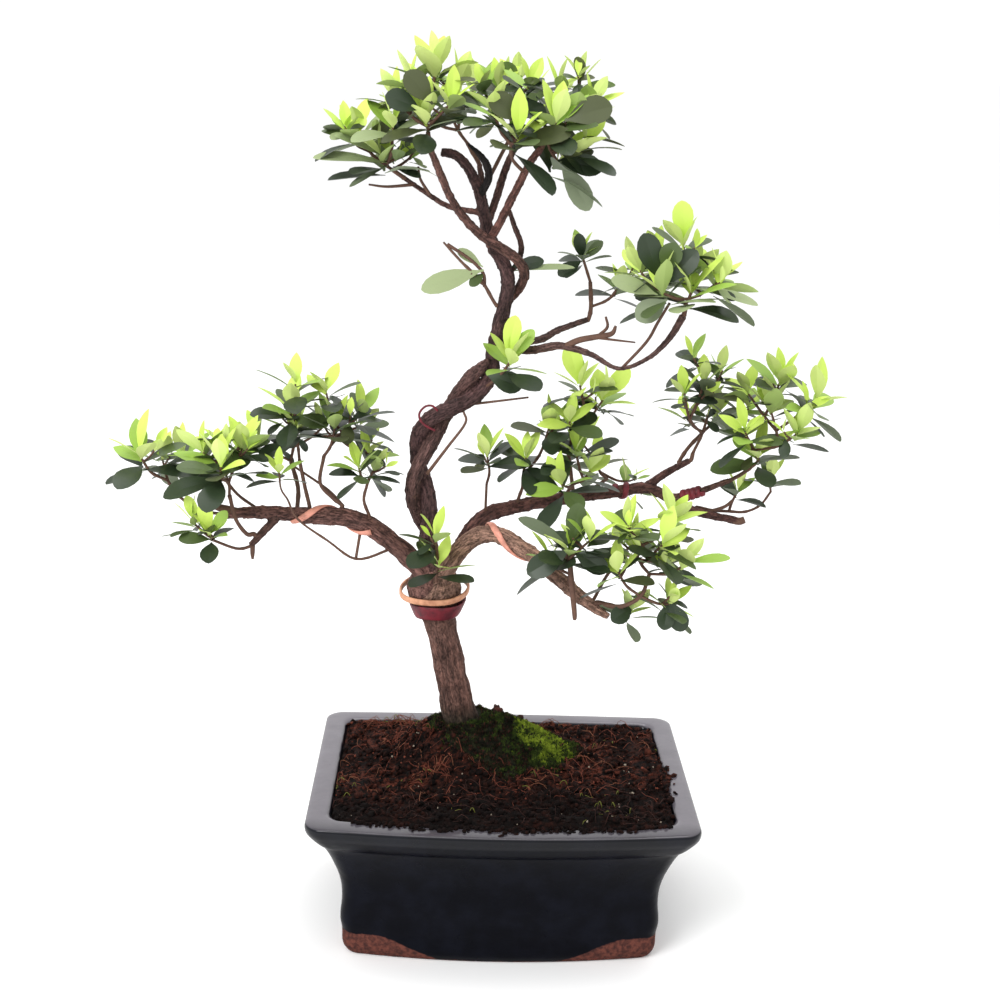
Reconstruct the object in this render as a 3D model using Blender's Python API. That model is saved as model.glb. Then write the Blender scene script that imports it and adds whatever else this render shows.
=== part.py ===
"""Azalea bonsai in its glazed pot.

A small azalea trained as a bonsai: one short trunk that divides at a tied fork, a twisted
leader, a long bough to the left, two to the right, and tufts of leaves on thin twigs.

Sizes below are in millimetres, measured from the middle of the pot: X to the right, Y away
from the viewer, Z up from the table.  mm() turns them into the scene's metres.
"""
import math
import random
from collections import Counter, namedtuple

import bmesh
import bpy
from mathutils import Vector
from mathutils.bvhtree import BVHTree

# ---------------------------------------------------------------- driving dimensions
POT_LENGTH = 200.0
POT_WIDTH = 150.0
POT_HEIGHT = 80.0
POT_FRONT_BOW = 7.5       # the long sides swell outward, the front more than the back
POT_BACK_BOW = 1.5
POT_WALL = 8.5
FOOT_HEIGHT = 8.0         # height of the arches between the four feet
FOOT_ARCH = 56.0          # width of those arches
ARCH_MARGIN = 6.0         # how far an arch's cutter reaches past it, and below the table
ARCH_DROP = 2.0
ARCH_ROUNDNESS = 0.6      # 1 is a plain half wave, and less is squarer
CORNER_RADIUS = 9.0       # of the rim's corners, less by the taper for each millimetre inward
CORNER_TAPER = 0.12
LEAST_CORNER = 3.0

# the plant's spread is not centred on its pot: the pot's middle lies here in the part's frame
POT_PLACE = (13.9, 3.0, 0.0)

SOIL_RIM = 78.0           # height of the soil along the rim
SOIL_TOP = 97.6           # height of the soil at the trunk's foot
SOIL_SLACK = 0.1          # extra clearance round the soil, beyond GAP
SOIL_LUMP = 0.8           # height of the soil's unevenness
TRUNK_FOOT = (-22.0, 20.0, 98.0)
MOUND_SPREAD = 21.0
MOUND_FLAT = 11.0         # the mound is level this far round the trunk
RIDGE_HEIGHT = 13.0       # a low ridge of soil to the right of the trunk
RIDGE_MIDDLE = (12.0, 22.0)
RIDGE_SPREAD = (26.0, 17.0)
MOSS_MIDDLE = (1.0, 15.0)
MOSS_REACH = (40.0, 25.0)
RING_MIDDLE = (-38.2, 14.2, 176.5)   # the slack ring at the fork
RING_REACH = (17.3, 14.4)
RING_WIDTH = 3.6
RING_THICKNESS = 1.5
BAND_MIDDLE = (-36.4, 14.6, 166.5)   # the cloth band under it
BAND_REACH = 12.6
BAND_WIDTH = 8.0
BAND_THICKNESS = 1.3

GAP = 0.3                 # clearance between pieces that touch
LEAF_CLEARANCE = 0.45     # clearance that a leaf keeps from everything but its own mass
LEAF_THICKNESS = 0.62
LEAF_ATTEMPTS = 5         # ways that a leaf tries to lie before it is left out
STEM_SLACK = 0.15         # extra clearance where a stem leaves the side of its limb, beyond GAP
WIRE_SLACK = 0.3          # extra clearance under a wound wire, beyond GAP
SHARED_EDGE = 5.0         # how far a leaf tip may pass the middle between two masses
LEAF_SUNK = 0.35          # how far a leaf's root reaches past its twig's middle
LEAF_BREADTH = 0.49       # of its length
TWIG_TIP_RADIUS = 0.95
SHOOT_LENGTH = 4.0        # length of twig that carries leaves
FIRST_LEAF_SWING = 0.6    # how far the oldest leaf may turn, in radians, from pointing away from the stem

WIND_PITCH = 74.0         # height over which the twisted pair makes one full turn
WIND_OFFSET = 4.15        # distance from each strand's middle to the pair's axis
WIND_START = 53.0         # length above the fork at which the strands line up front to back


def mm(x, y, z):
    """A place given in millimetres, in metres."""
    return Vector((x, y, z)) * 0.001


# ---------------------------------------------------------------- scene and materials
for old in list(bpy.data.objects):
    bpy.data.objects.remove(old, do_unlink=True)


def material(name, colour, roughness, metallic=0.0):
    """A plain Principled material."""
    made = bpy.data.materials.new(name)
    made.use_nodes = True
    shader = made.node_tree.nodes["Principled BSDF"]
    shader.inputs["Base Color"].default_value = (*colour, 1.0)
    shader.inputs["Roughness"].default_value = roughness
    shader.inputs["Metallic"].default_value = metallic
    return made


BARK = material("bark", (0.16, 0.10, 0.08), 0.85)
LEAF = material("leaves", (0.13, 0.27, 0.05), 0.5)
GLAZE = material("dark_glaze", (0.012, 0.014, 0.022), 0.18)
SOIL = material("potting_soil", (0.035, 0.018, 0.012), 0.95)
MOSS = material("moss", (0.12, 0.22, 0.03), 0.95)
PEACH_TIE = material("peach_tie", (0.62, 0.33, 0.20), 0.6)
RED_TAPE = material("red_tape", (0.22, 0.02, 0.03), 0.55)
PINK_WIRE = material("salmon_wire", (0.72, 0.36, 0.28), 0.5)

plant_frame = bpy.data.objects.new("plant_frame", None)
bpy.context.collection.objects.link(plant_frame)
plant_frame.location = mm(*POT_PLACE)


def make_object(name, verts, faces, surface):
    """A mesh object in the plant's frame."""
    mesh = bpy.data.meshes.new(name)
    mesh.from_pydata([tuple(v) for v in verts], [], faces)
    mesh.materials.append(surface)
    made = bpy.data.objects.new(name, mesh)
    bpy.context.collection.objects.link(made)
    made.parent = plant_frame
    shell = bmesh.new()
    shell.from_mesh(mesh)
    bmesh.ops.recalc_face_normals(shell, faces=shell.faces)
    shell.to_mesh(mesh)
    shell.free()
    return made


def shade_smooth(made):
    for face in made.data.polygons:
        face.use_smooth = True


def drop(made):
    """Remove a helper object and its mesh."""
    mesh = made.data
    bpy.data.objects.remove(made, do_unlink=True)
    bpy.data.meshes.remove(mesh)


def keep_main_body(mesh):
    """Keep the largest closed shell: loose scraps go, and sealed hollows are filled."""
    shell = bmesh.new()
    shell.from_mesh(mesh)
    shell.faces.ensure_lookup_table()
    unseen = set(shell.faces)
    groups = []
    while unseen:
        queue = [unseen.pop()]
        group = []
        while queue:
            face = queue.pop()
            group.append(face)
            for edge in face.edges:
                for other in edge.link_faces:
                    if other in unseen:
                        unseen.remove(other)
                        queue.append(other)
        groups.append(group)
    groups.sort(key=lambda faces: sum(f.calc_area() for f in faces))
    for group in groups[:-1]:
        bmesh.ops.delete(shell, geom=group, context="FACES")
    loose = [v for v in shell.verts if not v.link_faces]
    bmesh.ops.delete(shell, geom=loose, context="VERTS")
    bmesh.ops.triangulate(shell, faces=shell.faces)
    bmesh.ops.recalc_face_normals(shell, faces=shell.faces)
    shell.to_mesh(mesh)
    shell.free()


def apply_boolean(made, operation, others, solver="EXACT"):
    """Join or cut made with all the others at once, then remove them."""
    group = bpy.data.collections.new("boolean_operands")
    bpy.context.scene.collection.children.link(group)
    for other in others:
        group.objects.link(other)
    step = made.modifiers.new("boolean", "BOOLEAN")
    step.operation = operation
    step.solver = solver
    step.operand_type = "COLLECTION"
    step.collection = group
    depsgraph = bpy.context.evaluated_depsgraph_get()
    result = bpy.data.meshes.new_from_object(made.evaluated_get(depsgraph))
    made.modifiers.clear()
    before = made.data
    made.data = result
    bpy.data.meshes.remove(before)
    for other in others:
        drop(other)
    bpy.data.collections.remove(group)
    keep_main_body(made.data)


# ---------------------------------------------------------------- tubes
def smooth_path(guide, steps):
    """Catmull-Rom points through the guide's (x, y, z, radius) rows."""
    rows = [Vector(row) for row in guide]
    rows = [rows[0] * 2 - rows[1]] + rows + [rows[-1] * 2 - rows[-2]]
    path = []
    for a, b, c, d in zip(rows, rows[1:], rows[2:], rows[3:]):
        for k in range(steps):
            t = k / steps
            path.append(0.5 * (2 * b + (c - a) * t + (2 * a - 5 * b + 4 * c - d) * t * t
                               + (3 * b - a - 3 * c + d) * t ** 3))
    path.append(rows[-2])
    return path


def place(row):
    return Vector(row[:3])


def tube(path, sides, grow=0.0, flat_foot=False):
    """Vertices and faces, in metres, of a closed tapering tube along (x, y, z, radius) rows."""
    points = [place(row) for row in path]
    ways = []
    for i in range(len(points)):
        ways.append((points[min(i + 1, len(points) - 1)] - points[max(i - 1, 0)]).normalized())
    side = ways[0].orthogonal().normalized() if abs(ways[0].z) < 0.8 else Vector((1, 0, 0))
    verts = []
    for i, (point, way) in enumerate(zip(points, ways)):
        if flat_foot and i == 0:
            way = Vector((0, 0, 1))
        side = (side - way * side.dot(way)).normalized()
        across = way.cross(side)
        radius = path[i][3] + grow
        for k in range(sides):
            turn = 2 * math.pi * k / sides
            verts.append((point + (side * math.cos(turn) + across * math.sin(turn)) * radius) * 0.001)
    faces = []
    for i in range(len(path) - 1):
        for k in range(sides):
            a = i * sides + k
            b = i * sides + (k + 1) % sides
            faces.append((a, b, b + sides, a + sides))
    faces.append(tuple(reversed(range(sides))))
    faces.append(tuple(range((len(path) - 1) * sides, len(path) * sides)))
    return verts, faces


Limb = namedtuple("Limb", "path sides flat_foot")
LIMBS = {}


def limb_solid(name, grow=0.0, key=None):
    limb = LIMBS[name]
    verts, faces = tube(limb.path, limb.sides, grow, limb.flat_foot)
    made = make_object(key or name, verts, faces, BARK)
    shade_smooth(made)
    return made


def add_limb(name, guide, sides, steps, against=(), flat_foot=False):
    """One tapering limb, cut 0.3 mm clear of the limbs that it grows from."""
    LIMBS[name] = Limb(smooth_path(guide, steps), sides, flat_foot)
    made = limb_solid(name)
    if against:
        apply_boolean(made, "DIFFERENCE", [limb_solid(other, GAP, "cutter_" + other) for other in against])
        shade_smooth(made)
    return made


# ---------------------------------------------------------------- pot
# how far the outer wall stands in from the rim's corner, at each depth below the rim
POT_PROFILE = ((1.2, 0.0), (0.0, 1.6), (0.3, 5.0), (1.6, 7.5), (6.2, 14.0), (8.0, 15.0), (12.0, 23.0),
               (17.2, 38.0), (18.2, 50.0), (16.8, 61.0), (18.2, 68.0), (18.0, 76.0), (20.0, 80.0))
# the inner wall, the same way
POT_INSIDE = ((POT_WALL + 2.5, 0.0), (POT_WALL + 3.8, 1.6), (POT_WALL + 4.6, 5.0), (19.0, 17.0),
              (29.0, 67.0))


def pot_ring(inset, depth, corner_steps=3, long_steps=4):
    """A rounded oblong ring with swelling long sides, at one depth below the rim."""
    half_x = POT_LENGTH / 2 - inset
    half_y = POT_WIDTH / 2 - inset
    corner = max(LEAST_CORNER, CORNER_RADIUS - CORNER_TAPER * inset)
    ring = []
    for quarter in range(4):
        sign_x = (1, -1, -1, 1)[quarter]
        sign_y = (1, 1, -1, -1)[quarter]
        for k in range(corner_steps + 1):
            turn = math.pi / 2 * (quarter + k / corner_steps)
            ring.append([sign_x * (half_x - corner) + corner * math.cos(turn),
                         sign_y * (half_y - corner) + corner * math.sin(turn)])
        start = ring[-1]
        if quarter in (0, 2):
            for k in range(1, long_steps):
                ring.append([-start[0] * (2 * k / long_steps - 1), start[1]])
    verts = []
    for x, y in ring:
        bow = POT_BACK_BOW if y > 0 else -POT_FRONT_BOW
        swell = max(0.0, 1.0 - (x / half_x) ** 2) * min(1.0, abs(y) / (half_y * 0.7))
        verts.append(Vector((x, y + bow * swell, POT_HEIGHT - depth)))
    return verts


def loft(rings):
    """Vertices in metres and faces of a closed solid through equal rings, capped at both ends."""
    count = len(rings[0])
    verts = [point * 0.001 for ring in rings for point in ring]
    faces = []
    for i in range(len(rings) - 1):
        for k in range(count):
            a = i * count + k
            b = i * count + (k + 1) % count
            faces += [(a, b, b + count), (a, b + count, a + count)]
    faces.append(tuple(reversed(range(count))))
    faces.append(tuple(range((len(rings) - 1) * count, len(rings) * count)))
    return verts, faces


def arch_cutter(name, along_x):
    """A long cutter with a low arched top, for the gaps between the feet."""
    steps = 8
    length = POT_LENGTH
    profile = [(-FOOT_ARCH / 2 - ARCH_MARGIN, -ARCH_DROP)]
    for k in range(steps + 1):
        t = k / steps
        height = FOOT_HEIGHT * math.sin(math.pi * t) ** ARCH_ROUNDNESS
        profile.append((-FOOT_ARCH / 2 + FOOT_ARCH * t, height))
    profile.append((FOOT_ARCH / 2 + ARCH_MARGIN, -ARCH_DROP))
    rings = []
    for end in (-length, length):
        if along_x:
            rings.append([Vector((end, u, w)) for u, w in profile])
        else:
            rings.append([Vector((u, -end, w)) for u, w in profile])
    verts, faces = loft(rings)
    return make_object(name, verts, faces, GLAZE)


def make_pot():
    rings = [pot_ring(inset, depth) for inset, depth in reversed(POT_PROFILE)]
    rings += [pot_ring(inset, depth) for inset, depth in POT_INSIDE]
    verts, faces = loft(rings)
    pot = make_object("pot", verts, faces, GLAZE)
    apply_boolean(pot, "DIFFERENCE", [arch_cutter("arch_a", True), arch_cutter("arch_b", False)])
    shade_smooth(pot)


def soil_height(x, y):
    """The soil's top: level near the rim, a mound at the trunk and a low ridge to its right."""
    off_trunk = math.hypot(x - TRUNK_FOOT[0], y - TRUNK_FOOT[1])
    off_foot = max(0.0, off_trunk - MOUND_FLAT)
    mound = (SOIL_TOP - SOIL_RIM) * math.exp(-(off_foot / MOUND_SPREAD) ** 2)
    ridge = RIDGE_HEIGHT * math.exp(-(((x - RIDGE_MIDDLE[0]) / RIDGE_SPREAD[0]) ** 2
                                      + ((y - RIDGE_MIDDLE[1]) / RIDGE_SPREAD[1]) ** 2))
    lumps = SOIL_LUMP * math.sin(0.21 * x + 1.1) * math.cos(0.19 * y - 0.4) * min(1.0, off_foot / 8)
    edge = min(1.0, (POT_LENGTH / 2 - abs(x)) / 40, (POT_WIDTH / 2 - abs(y)) / 34)
    return SOIL_RIM + (max(mound, 0.75 * (mound + ridge)) + lumps) * min(1.0, max(0.0, edge * 1.6 - 0.4))


def soil_rings(lift=0.0):
    rings = [pot_ring(inset + GAP + SOIL_SLACK, depth - GAP) for inset, depth in reversed(POT_INSIDE[2:])]
    edge = pot_ring(POT_INSIDE[1][0] + GAP + SOIL_SLACK, POT_HEIGHT - SOIL_RIM)
    rings.append([Vector((p.x, p.y, SOIL_RIM + lift)) for p in edge])
    for share in (0.24, 0.46, 0.64, 0.79, 0.92):
        ring = []
        for p in edge:
            x = p.x + (TRUNK_FOOT[0] - p.x) * share
            y = p.y + (TRUNK_FOOT[1] - p.y) * share
            ring.append(Vector((x, y, soil_height(x, y) + lift)))
        rings.append(ring)
    return rings


def make_soil():
    verts, faces = loft(soil_rings())
    shade_smooth(make_object("soil", verts, faces, SOIL))


def make_moss():
    """A lumpy cushion over the mound, clear of the soil and of the trunk's foot."""
    rings = []
    count = 11
    for share, height in ((0.98, -7.0), (1.0, 0.8), (0.90, 3.2), (0.66, 5.2), (0.34, 5.8)):
        ring = []
        for k in range(count):
            turn = 2 * math.pi * k / count
            reach = 1.0 + 0.12 * math.sin(3 * turn + 0.5) + 0.07 * math.sin(7 * turn)
            x = MOSS_MIDDLE[0] + MOSS_REACH[0] * share * reach * math.cos(turn)
            y = MOSS_MIDDLE[1] + MOSS_REACH[1] * share * reach * math.sin(turn)
            bump = 1.2 * math.sin(0.33 * x + 0.8) * math.cos(0.41 * y)
            ring.append(Vector((x, y, soil_height(x, y) + height + (bump if height > 0.5 else 0.0))))
        rings.append(ring)
    verts, faces = loft(rings)
    moss = make_object("moss", verts, faces, MOSS)
    ground_verts, ground_faces = loft(soil_rings(GAP + SOIL_SLACK))
    ground = make_object("cutter_soil", ground_verts, ground_faces, MOSS)
    apply_boolean(moss, "DIFFERENCE", [ground, limb_solid("trunk", GAP, "cutter_trunk")])
    shade_smooth(moss)


# ---------------------------------------------------------------- trunk and limbs
TRUNK_GUIDE = (
    (*TRUNK_FOOT, 11.6), (-22.8, 19.4, 101, 10.2), (-24.6, 18.5, 109, 9.5), (-26.9, 17.6, 120, 8.9),
    (-29.5, 17, 133, 8.5), (-32.2, 16, 146, 8.4), (-34.8, 15, 158, 8.9), (-36.6, 14.5, 167, 11.6),
    (-37.8, 14, 174, 14.3), (-38.6, 13.5, 180, 14.4), (-39.4, 12.5, 187, 10.8), (-40.4, 12, 194, 6.4))
# the axis that the twisted pair winds round, and each strand's radius
LEADER_GUIDE = (
    (-41.5, 11, 203, 4.4), (-43.5, 10.5, 214, 4.1), (-46.0, 10, 227, 4.0), (-47.8, 10, 240, 4.0),
    (-47.0, 10, 251, 4.0), (-43.0, 9, 263, 4.0), (-36.5, 8, 272.5, 4.0), (-27.5, 7, 281, 3.9),
    (-18.5, 6, 290.5, 3.8), (-12.0, 5, 303, 3.8), (-8.5, 5, 318, 3.7), (-5.6, 5, 330, 3.7),
    (-4.2, 5, 341, 3.6), (-6.0, 4, 350, 3.5), (-11.0, 3, 358, 3.4), (-14.6, 3, 366, 3.3),
    (-17.0, 2, 375, 3.1), (-19.0, 2, 384, 2.9), (-22.0, 2, 392, 2.7), (-27.0, 1, 400, 2.5),
    (-32.5, 1, 404.5, 2.3), (-39.0, 0, 405.5, 2.1))
TWIN_END = 124.0          # length above the fork where the shorter strand ends


def ease(value):
    value = min(1.0, max(0.0, value))
    return value * value * (3 - 2 * value)


def wound_strand(half_turn, first, last):
    """One strand of the twisted pair, between two lengths along the leader."""
    axis = smooth_path(LEADER_GUIDE, 2)
    length = 10.0
    strand = []
    for i, row in enumerate(axis):
        if i:
            length += (place(row) - place(axis[i - 1])).length
        if not first <= length <= last:
            continue
        way = (place(axis[min(i + 1, len(axis) - 1)]) - place(axis[max(i - 1, 0)])).normalized()
        side = Vector((0, 1, 0)).cross(way).normalized()
        depth = way.cross(side)
        turn = math.radians(90 + half_turn + 360 * (length - WIND_START) / WIND_PITCH)
        offset = WIND_OFFSET * ease((length - 6) / 14) * (1 - ease((length - TWIN_END + 8) / 16))
        point = place(row) + (side * math.cos(turn) + depth * math.sin(turn)) * offset
        radius = row[3]
        if half_turn:
            radius *= 0.96 * math.sqrt(ease((TWIN_END - length) / 16 + 0.12))
            radius = max(radius, 0.7)
        strand.append((*point, radius))
    return strand


def make_limbs():
    trunk_path = [tuple(row) for row in smooth_path(TRUNK_GUIDE, 2)]
    LIMBS["trunk"] = Limb(trunk_path + wound_strand(0, 10.0, 400.0), 9, True)
    limb_solid("trunk")
    LIMBS["leader_twin"] = Limb([(-38.0, 13, 186, 4.2)] + wound_strand(180, 12.0, TWIN_END), 8, False)
    twin = limb_solid("leader_twin")
    apply_boolean(twin, "DIFFERENCE", [limb_solid("trunk", GAP, "cutter_trunk")])
    shade_smooth(twin)

    add_limb("bough_left", (
        (-38, 12, 181, 5.6), (-46, 9, 190, 5.6), (-55, 8, 199, 5.3), (-64, 6, 207, 5.1), (-74, 4, 214.5, 5.1),
        (-87, 2, 219, 4.8), (-101, 0, 219.5, 4.3), (-114, -2, 221, 3.8), (-129, -4, 222, 3.3),
        (-145, -5, 221, 2.6)), 8, 1, ("trunk", "leader_twin"))
    add_limb("branch_left_low", (
        (-119, -3, 220, 2.2), (-123, -6, 216, 2.1), (-127, -9, 212, 2.0), (-132, -13, 207, 1.7)),
        7, 2, ("bough_left",))
    add_limb("bough_right_front", (
        (-36, 11, 180, 5.6), (-31, 8, 192, 5.2), (-24, 4, 203, 4.9), (-15, -2, 212, 4.7), (-4, -10, 214, 4.4),
        (11, -18, 207, 4.2), (24, -26, 198, 3.9), (38, -34, 188.5, 3.3), (50, -40, 182, 1.7)),
        8, 2, ("trunk", "leader_twin"))
    add_limb("bough_right_back", (
        (-25, 6, 201, 4.4), (-20, 14, 209, 4.3), (-11, 22, 216, 4.1), (1, 26, 219, 3.8), (20, 30, 222, 3.6),
        (42, 33, 225, 3.4), (61, 36, 227, 3.2), (77, 38, 228, 3.0), (101, 40, 216, 2.5), (127, 42, 210, 2.0)),
        8, 1, ("bough_right_front", "trunk", "leader_twin"))
    add_limb("branch_right_fork", (
        (73, 38.5, 228, 2.4), (79, 40, 232, 2.2), (87, 38, 238.5, 2.0), (97, 36, 245, 1.7)),
        7, 2, ("bough_right_back",))
    add_limb("branch_right_taped", (
        (86, 38, 223, 2.2), (93, 37, 224.5, 2.1), (101, 36, 227, 1.9), (109, 35, 230.5, 1.7),
        (119, 34, 235, 1.5)), 7, 2, ("bough_right_back", "branch_right_fork"))
    add_limb("branch_upper_front", (
        (-10, 5, 306, 2.6), (-3, 1, 309, 2.4), (9, -4, 310, 2.2), (22, -10, 313.5, 2.1), (37, -14, 310.5, 1.5),
        (51, -19, 304.5, 1.1), (65, -22, 310.5, 1.2), (75, -22, 321, 1.6), (81, -22, 332, 1.9)),
        7, 2, ("trunk", "leader_twin"))
    add_limb("branch_upper_back", (
        (-8, 6, 311, 2.4), (0, 12, 311, 2.2), (13, 15, 312, 2.0), (22, 20, 316, 1.8), (31, 26, 318.5, 1.6),
        (38, 30, 320.5, 1.5)), 7, 2, ("trunk", "branch_upper_front"))
    add_limb("crown_branch_left", (
        (-4.0, 12.2, 331, 1.6), (1.2, 11.0, 338, 2.4), (3.8, 4.5, 347, 2.6), (-0.5, -3.0, 355, 2.6),
        (-9, -6.5, 361, 2.5), (-16, -7.5, 365, 2.4), (-25, -11, 373, 2.2), (-33, -16, 384, 2.0),
        (-39, -20, 397, 1.9), (-44, -22, 409, 1.6)), 7, 2, ("trunk",))
    add_limb("crown_branch_right", (
        (-14, 2, 361, 2.1), (-12.5, -4.5, 367, 2.1), (-9, -8, 374, 2.1), (-6, -10, 381, 2.1),
        (-2, -13, 390, 2.0), (4, -17, 403, 1.9), (9, -18, 410, 1.6)), 7, 2, ("trunk", "crown_branch_left"))
    add_limb("crown_branch_centre", (
        (-15.5, 4, 371, 2.0), (-12.0, 8, 381, 2.0), (-9, 12, 391, 2.0), (-6, 14, 400, 1.8),
        (-3, 16, 407, 1.6)), 7, 2, ("trunk", "crown_branch_right"))
    add_limb("crown_branch_far_left", (
        (-17.5, 2, 376, 1.5), (-22, 3, 377, 1.5), (-35, 6, 379, 1.4), (-46, 8, 385, 1.3), (-57, 8, 392, 1.1)),
        6, 2, ("trunk",))
    add_limb("crown_branch_back", (
        (-17, 3, 372, 1.8), (-17.5, 10, 378, 1.8), (-18, 19, 388, 1.7), (-20, 28, 398, 1.4)),
        6, 2, ("trunk", "crown_branch_centre"))
    add_limb("crown_strand", (
        (-3.2, 7, 347, 1.4), (1.2, 10.5, 353, 1.5), (1.8, 12.5, 361, 1.5), (-1.5, 13.5, 369, 1.4),
        (-4.5, 15.8, 377, 1.2)), 6, 2, ("trunk", "crown_branch_left", "crown_branch_centre"))
    add_limb("leader_snag", (
        (-19, 1, 386, 1.9), (-15.5, -3.5, 394, 2.0), (-17, -4.5, 401, 1.9), (-21, -4.5, 406, 1.4),
        (-26, -4, 410, 0.7)), 6, 2, ("trunk", "crown_branch_right"))


# ---------------------------------------------------------------- ties and wires
def make_band(name, path, width, thickness, surface):
    """A closed flat band through a ring of points, standing along the given directions."""
    verts = []
    for point, outward, along in path:
        for a, b in ((-1, 0), (1, 0), (1, 1), (-1, 1)):
            verts.append((point + along * (a * width / 2) + outward * (b * thickness)) * 0.001)
    faces = []
    for i in range(len(path)):
        j = (i + 1) % len(path)
        for k in range(4):
            faces.append((i * 4 + k, i * 4 + (k + 1) % 4, j * 4 + (k + 1) % 4, j * 4 + k))
    return make_object(name, verts, faces, surface)


def make_fork_ties():
    """A slack peach ring round the fork, and the red band that binds the swelling under it."""
    ring = []
    for k in range(20):
        turn = 2 * math.pi * k / 20
        outward = Vector((math.cos(turn), math.sin(turn), 0))
        point = Vector(RING_MIDDLE) + Vector((RING_REACH[0] * outward.x, RING_REACH[1] * outward.y,
                                              3.0 * outward.y + 1.2 * outward.x))
        ring.append((point, outward, Vector((0, -0.25, 1)).normalized()))
    fork_ring = make_band("fork_ring", ring, RING_WIDTH, RING_THICKNESS, PEACH_TIE)
    apply_boolean(fork_ring, "DIFFERENCE", [limb_solid("trunk", GAP, "cutter_trunk"),
                                            limb_solid("bough_left", GAP, "cutter_left"),
                                            limb_solid("bough_right_front", GAP, "cutter_right")])
    shade_smooth(fork_ring)
    band = []
    for k in range(16):
        turn = 2 * math.pi * k / 16
        outward = Vector((math.cos(turn), math.sin(turn), 0))
        centre = Vector(BAND_MIDDLE) + Vector((0, 0, 0.8 * outward.x))
        flare = (outward * 0.30 + Vector((0, 0, 1))).normalized()
        band.append((centre + outward * BAND_REACH, outward, flare))
    fork_band = make_band("fork_band", band, BAND_WIDTH, BAND_THICKNESS, RED_TAPE)
    apply_boolean(fork_band, "DIFFERENCE", [limb_solid("trunk", GAP, "cutter_trunk")])
    shade_smooth(fork_band)


def coil_path(limb_name, first, last, turns, start, wire):
    """A wire's path wound round a limb, between two shares of the limb's length."""
    path = LIMBS[limb_name].path
    count = max(6, int(abs(turns) * 9))
    rows = []
    for k in range(count + 1):
        share = first + (last - first) * k / count
        at = share * (len(path) - 1)
        i = min(int(at), len(path) - 2)
        t = at - i
        point = place(path[i]).lerp(place(path[i + 1]), t)
        radius = path[i][3] * (1 - t) + path[i + 1][3] * t
        way = (place(path[i + 1]) - place(path[i])).normalized()
        side = way.cross(Vector((0, 0, 1))).normalized()
        up = side.cross(way)
        turn = math.radians(start + 360 * turns * k / count)
        point += (side * math.cos(turn) + up * math.sin(turn)) * (radius + wire + GAP + WIRE_SLACK)
        rows.append((*point, wire))
    return rows


def make_coil(name, limb_name, first, last, turns, start, wire, surface):
    verts, faces = tube(coil_path(limb_name, first, last, turns, start, wire), 4)
    made = make_object(name, verts, faces, surface)
    shade_smooth(made)
    return made


def make_wires():
    make_coil("wire_left", "bough_left", 0.42, 0.76, 1.1, 195, 1.1, PINK_WIRE)
    make_coil("wire_right_near", "bough_right_front", 0.40, 0.62, -0.75, 150, 1.2, PINK_WIRE)
    make_coil("tape_right_near", "bough_right_back", 0.64, 0.69, 1.2, 30, 0.8, RED_TAPE)
    make_coil("tape_right_far", "branch_right_taped", 0.30, 0.62, 4.0, 0, 1.0, RED_TAPE)
    loop = [(-39.4, 1.6, 266), (-43.0, 0.4, 268), (-46.6, 0.2, 271), (-47.4, 0.6, 275), (-44.6, 0.8, 278.5),
            (-41.0, 0.6, 279), (-38.2, 0.8, 276.5)]
    path = [tuple(row) for row in smooth_path([(*p, 0.55) for p in loop], 2)]
    verts, faces = tube(path, 5)
    hook = make_object("wire_loop", verts, faces, RED_TAPE)
    apply_boolean(hook, "DIFFERENCE", [limb_solid("trunk", GAP, "cutter_trunk"),
                                       limb_solid("leader_twin", GAP, "cutter_twin")])


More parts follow.
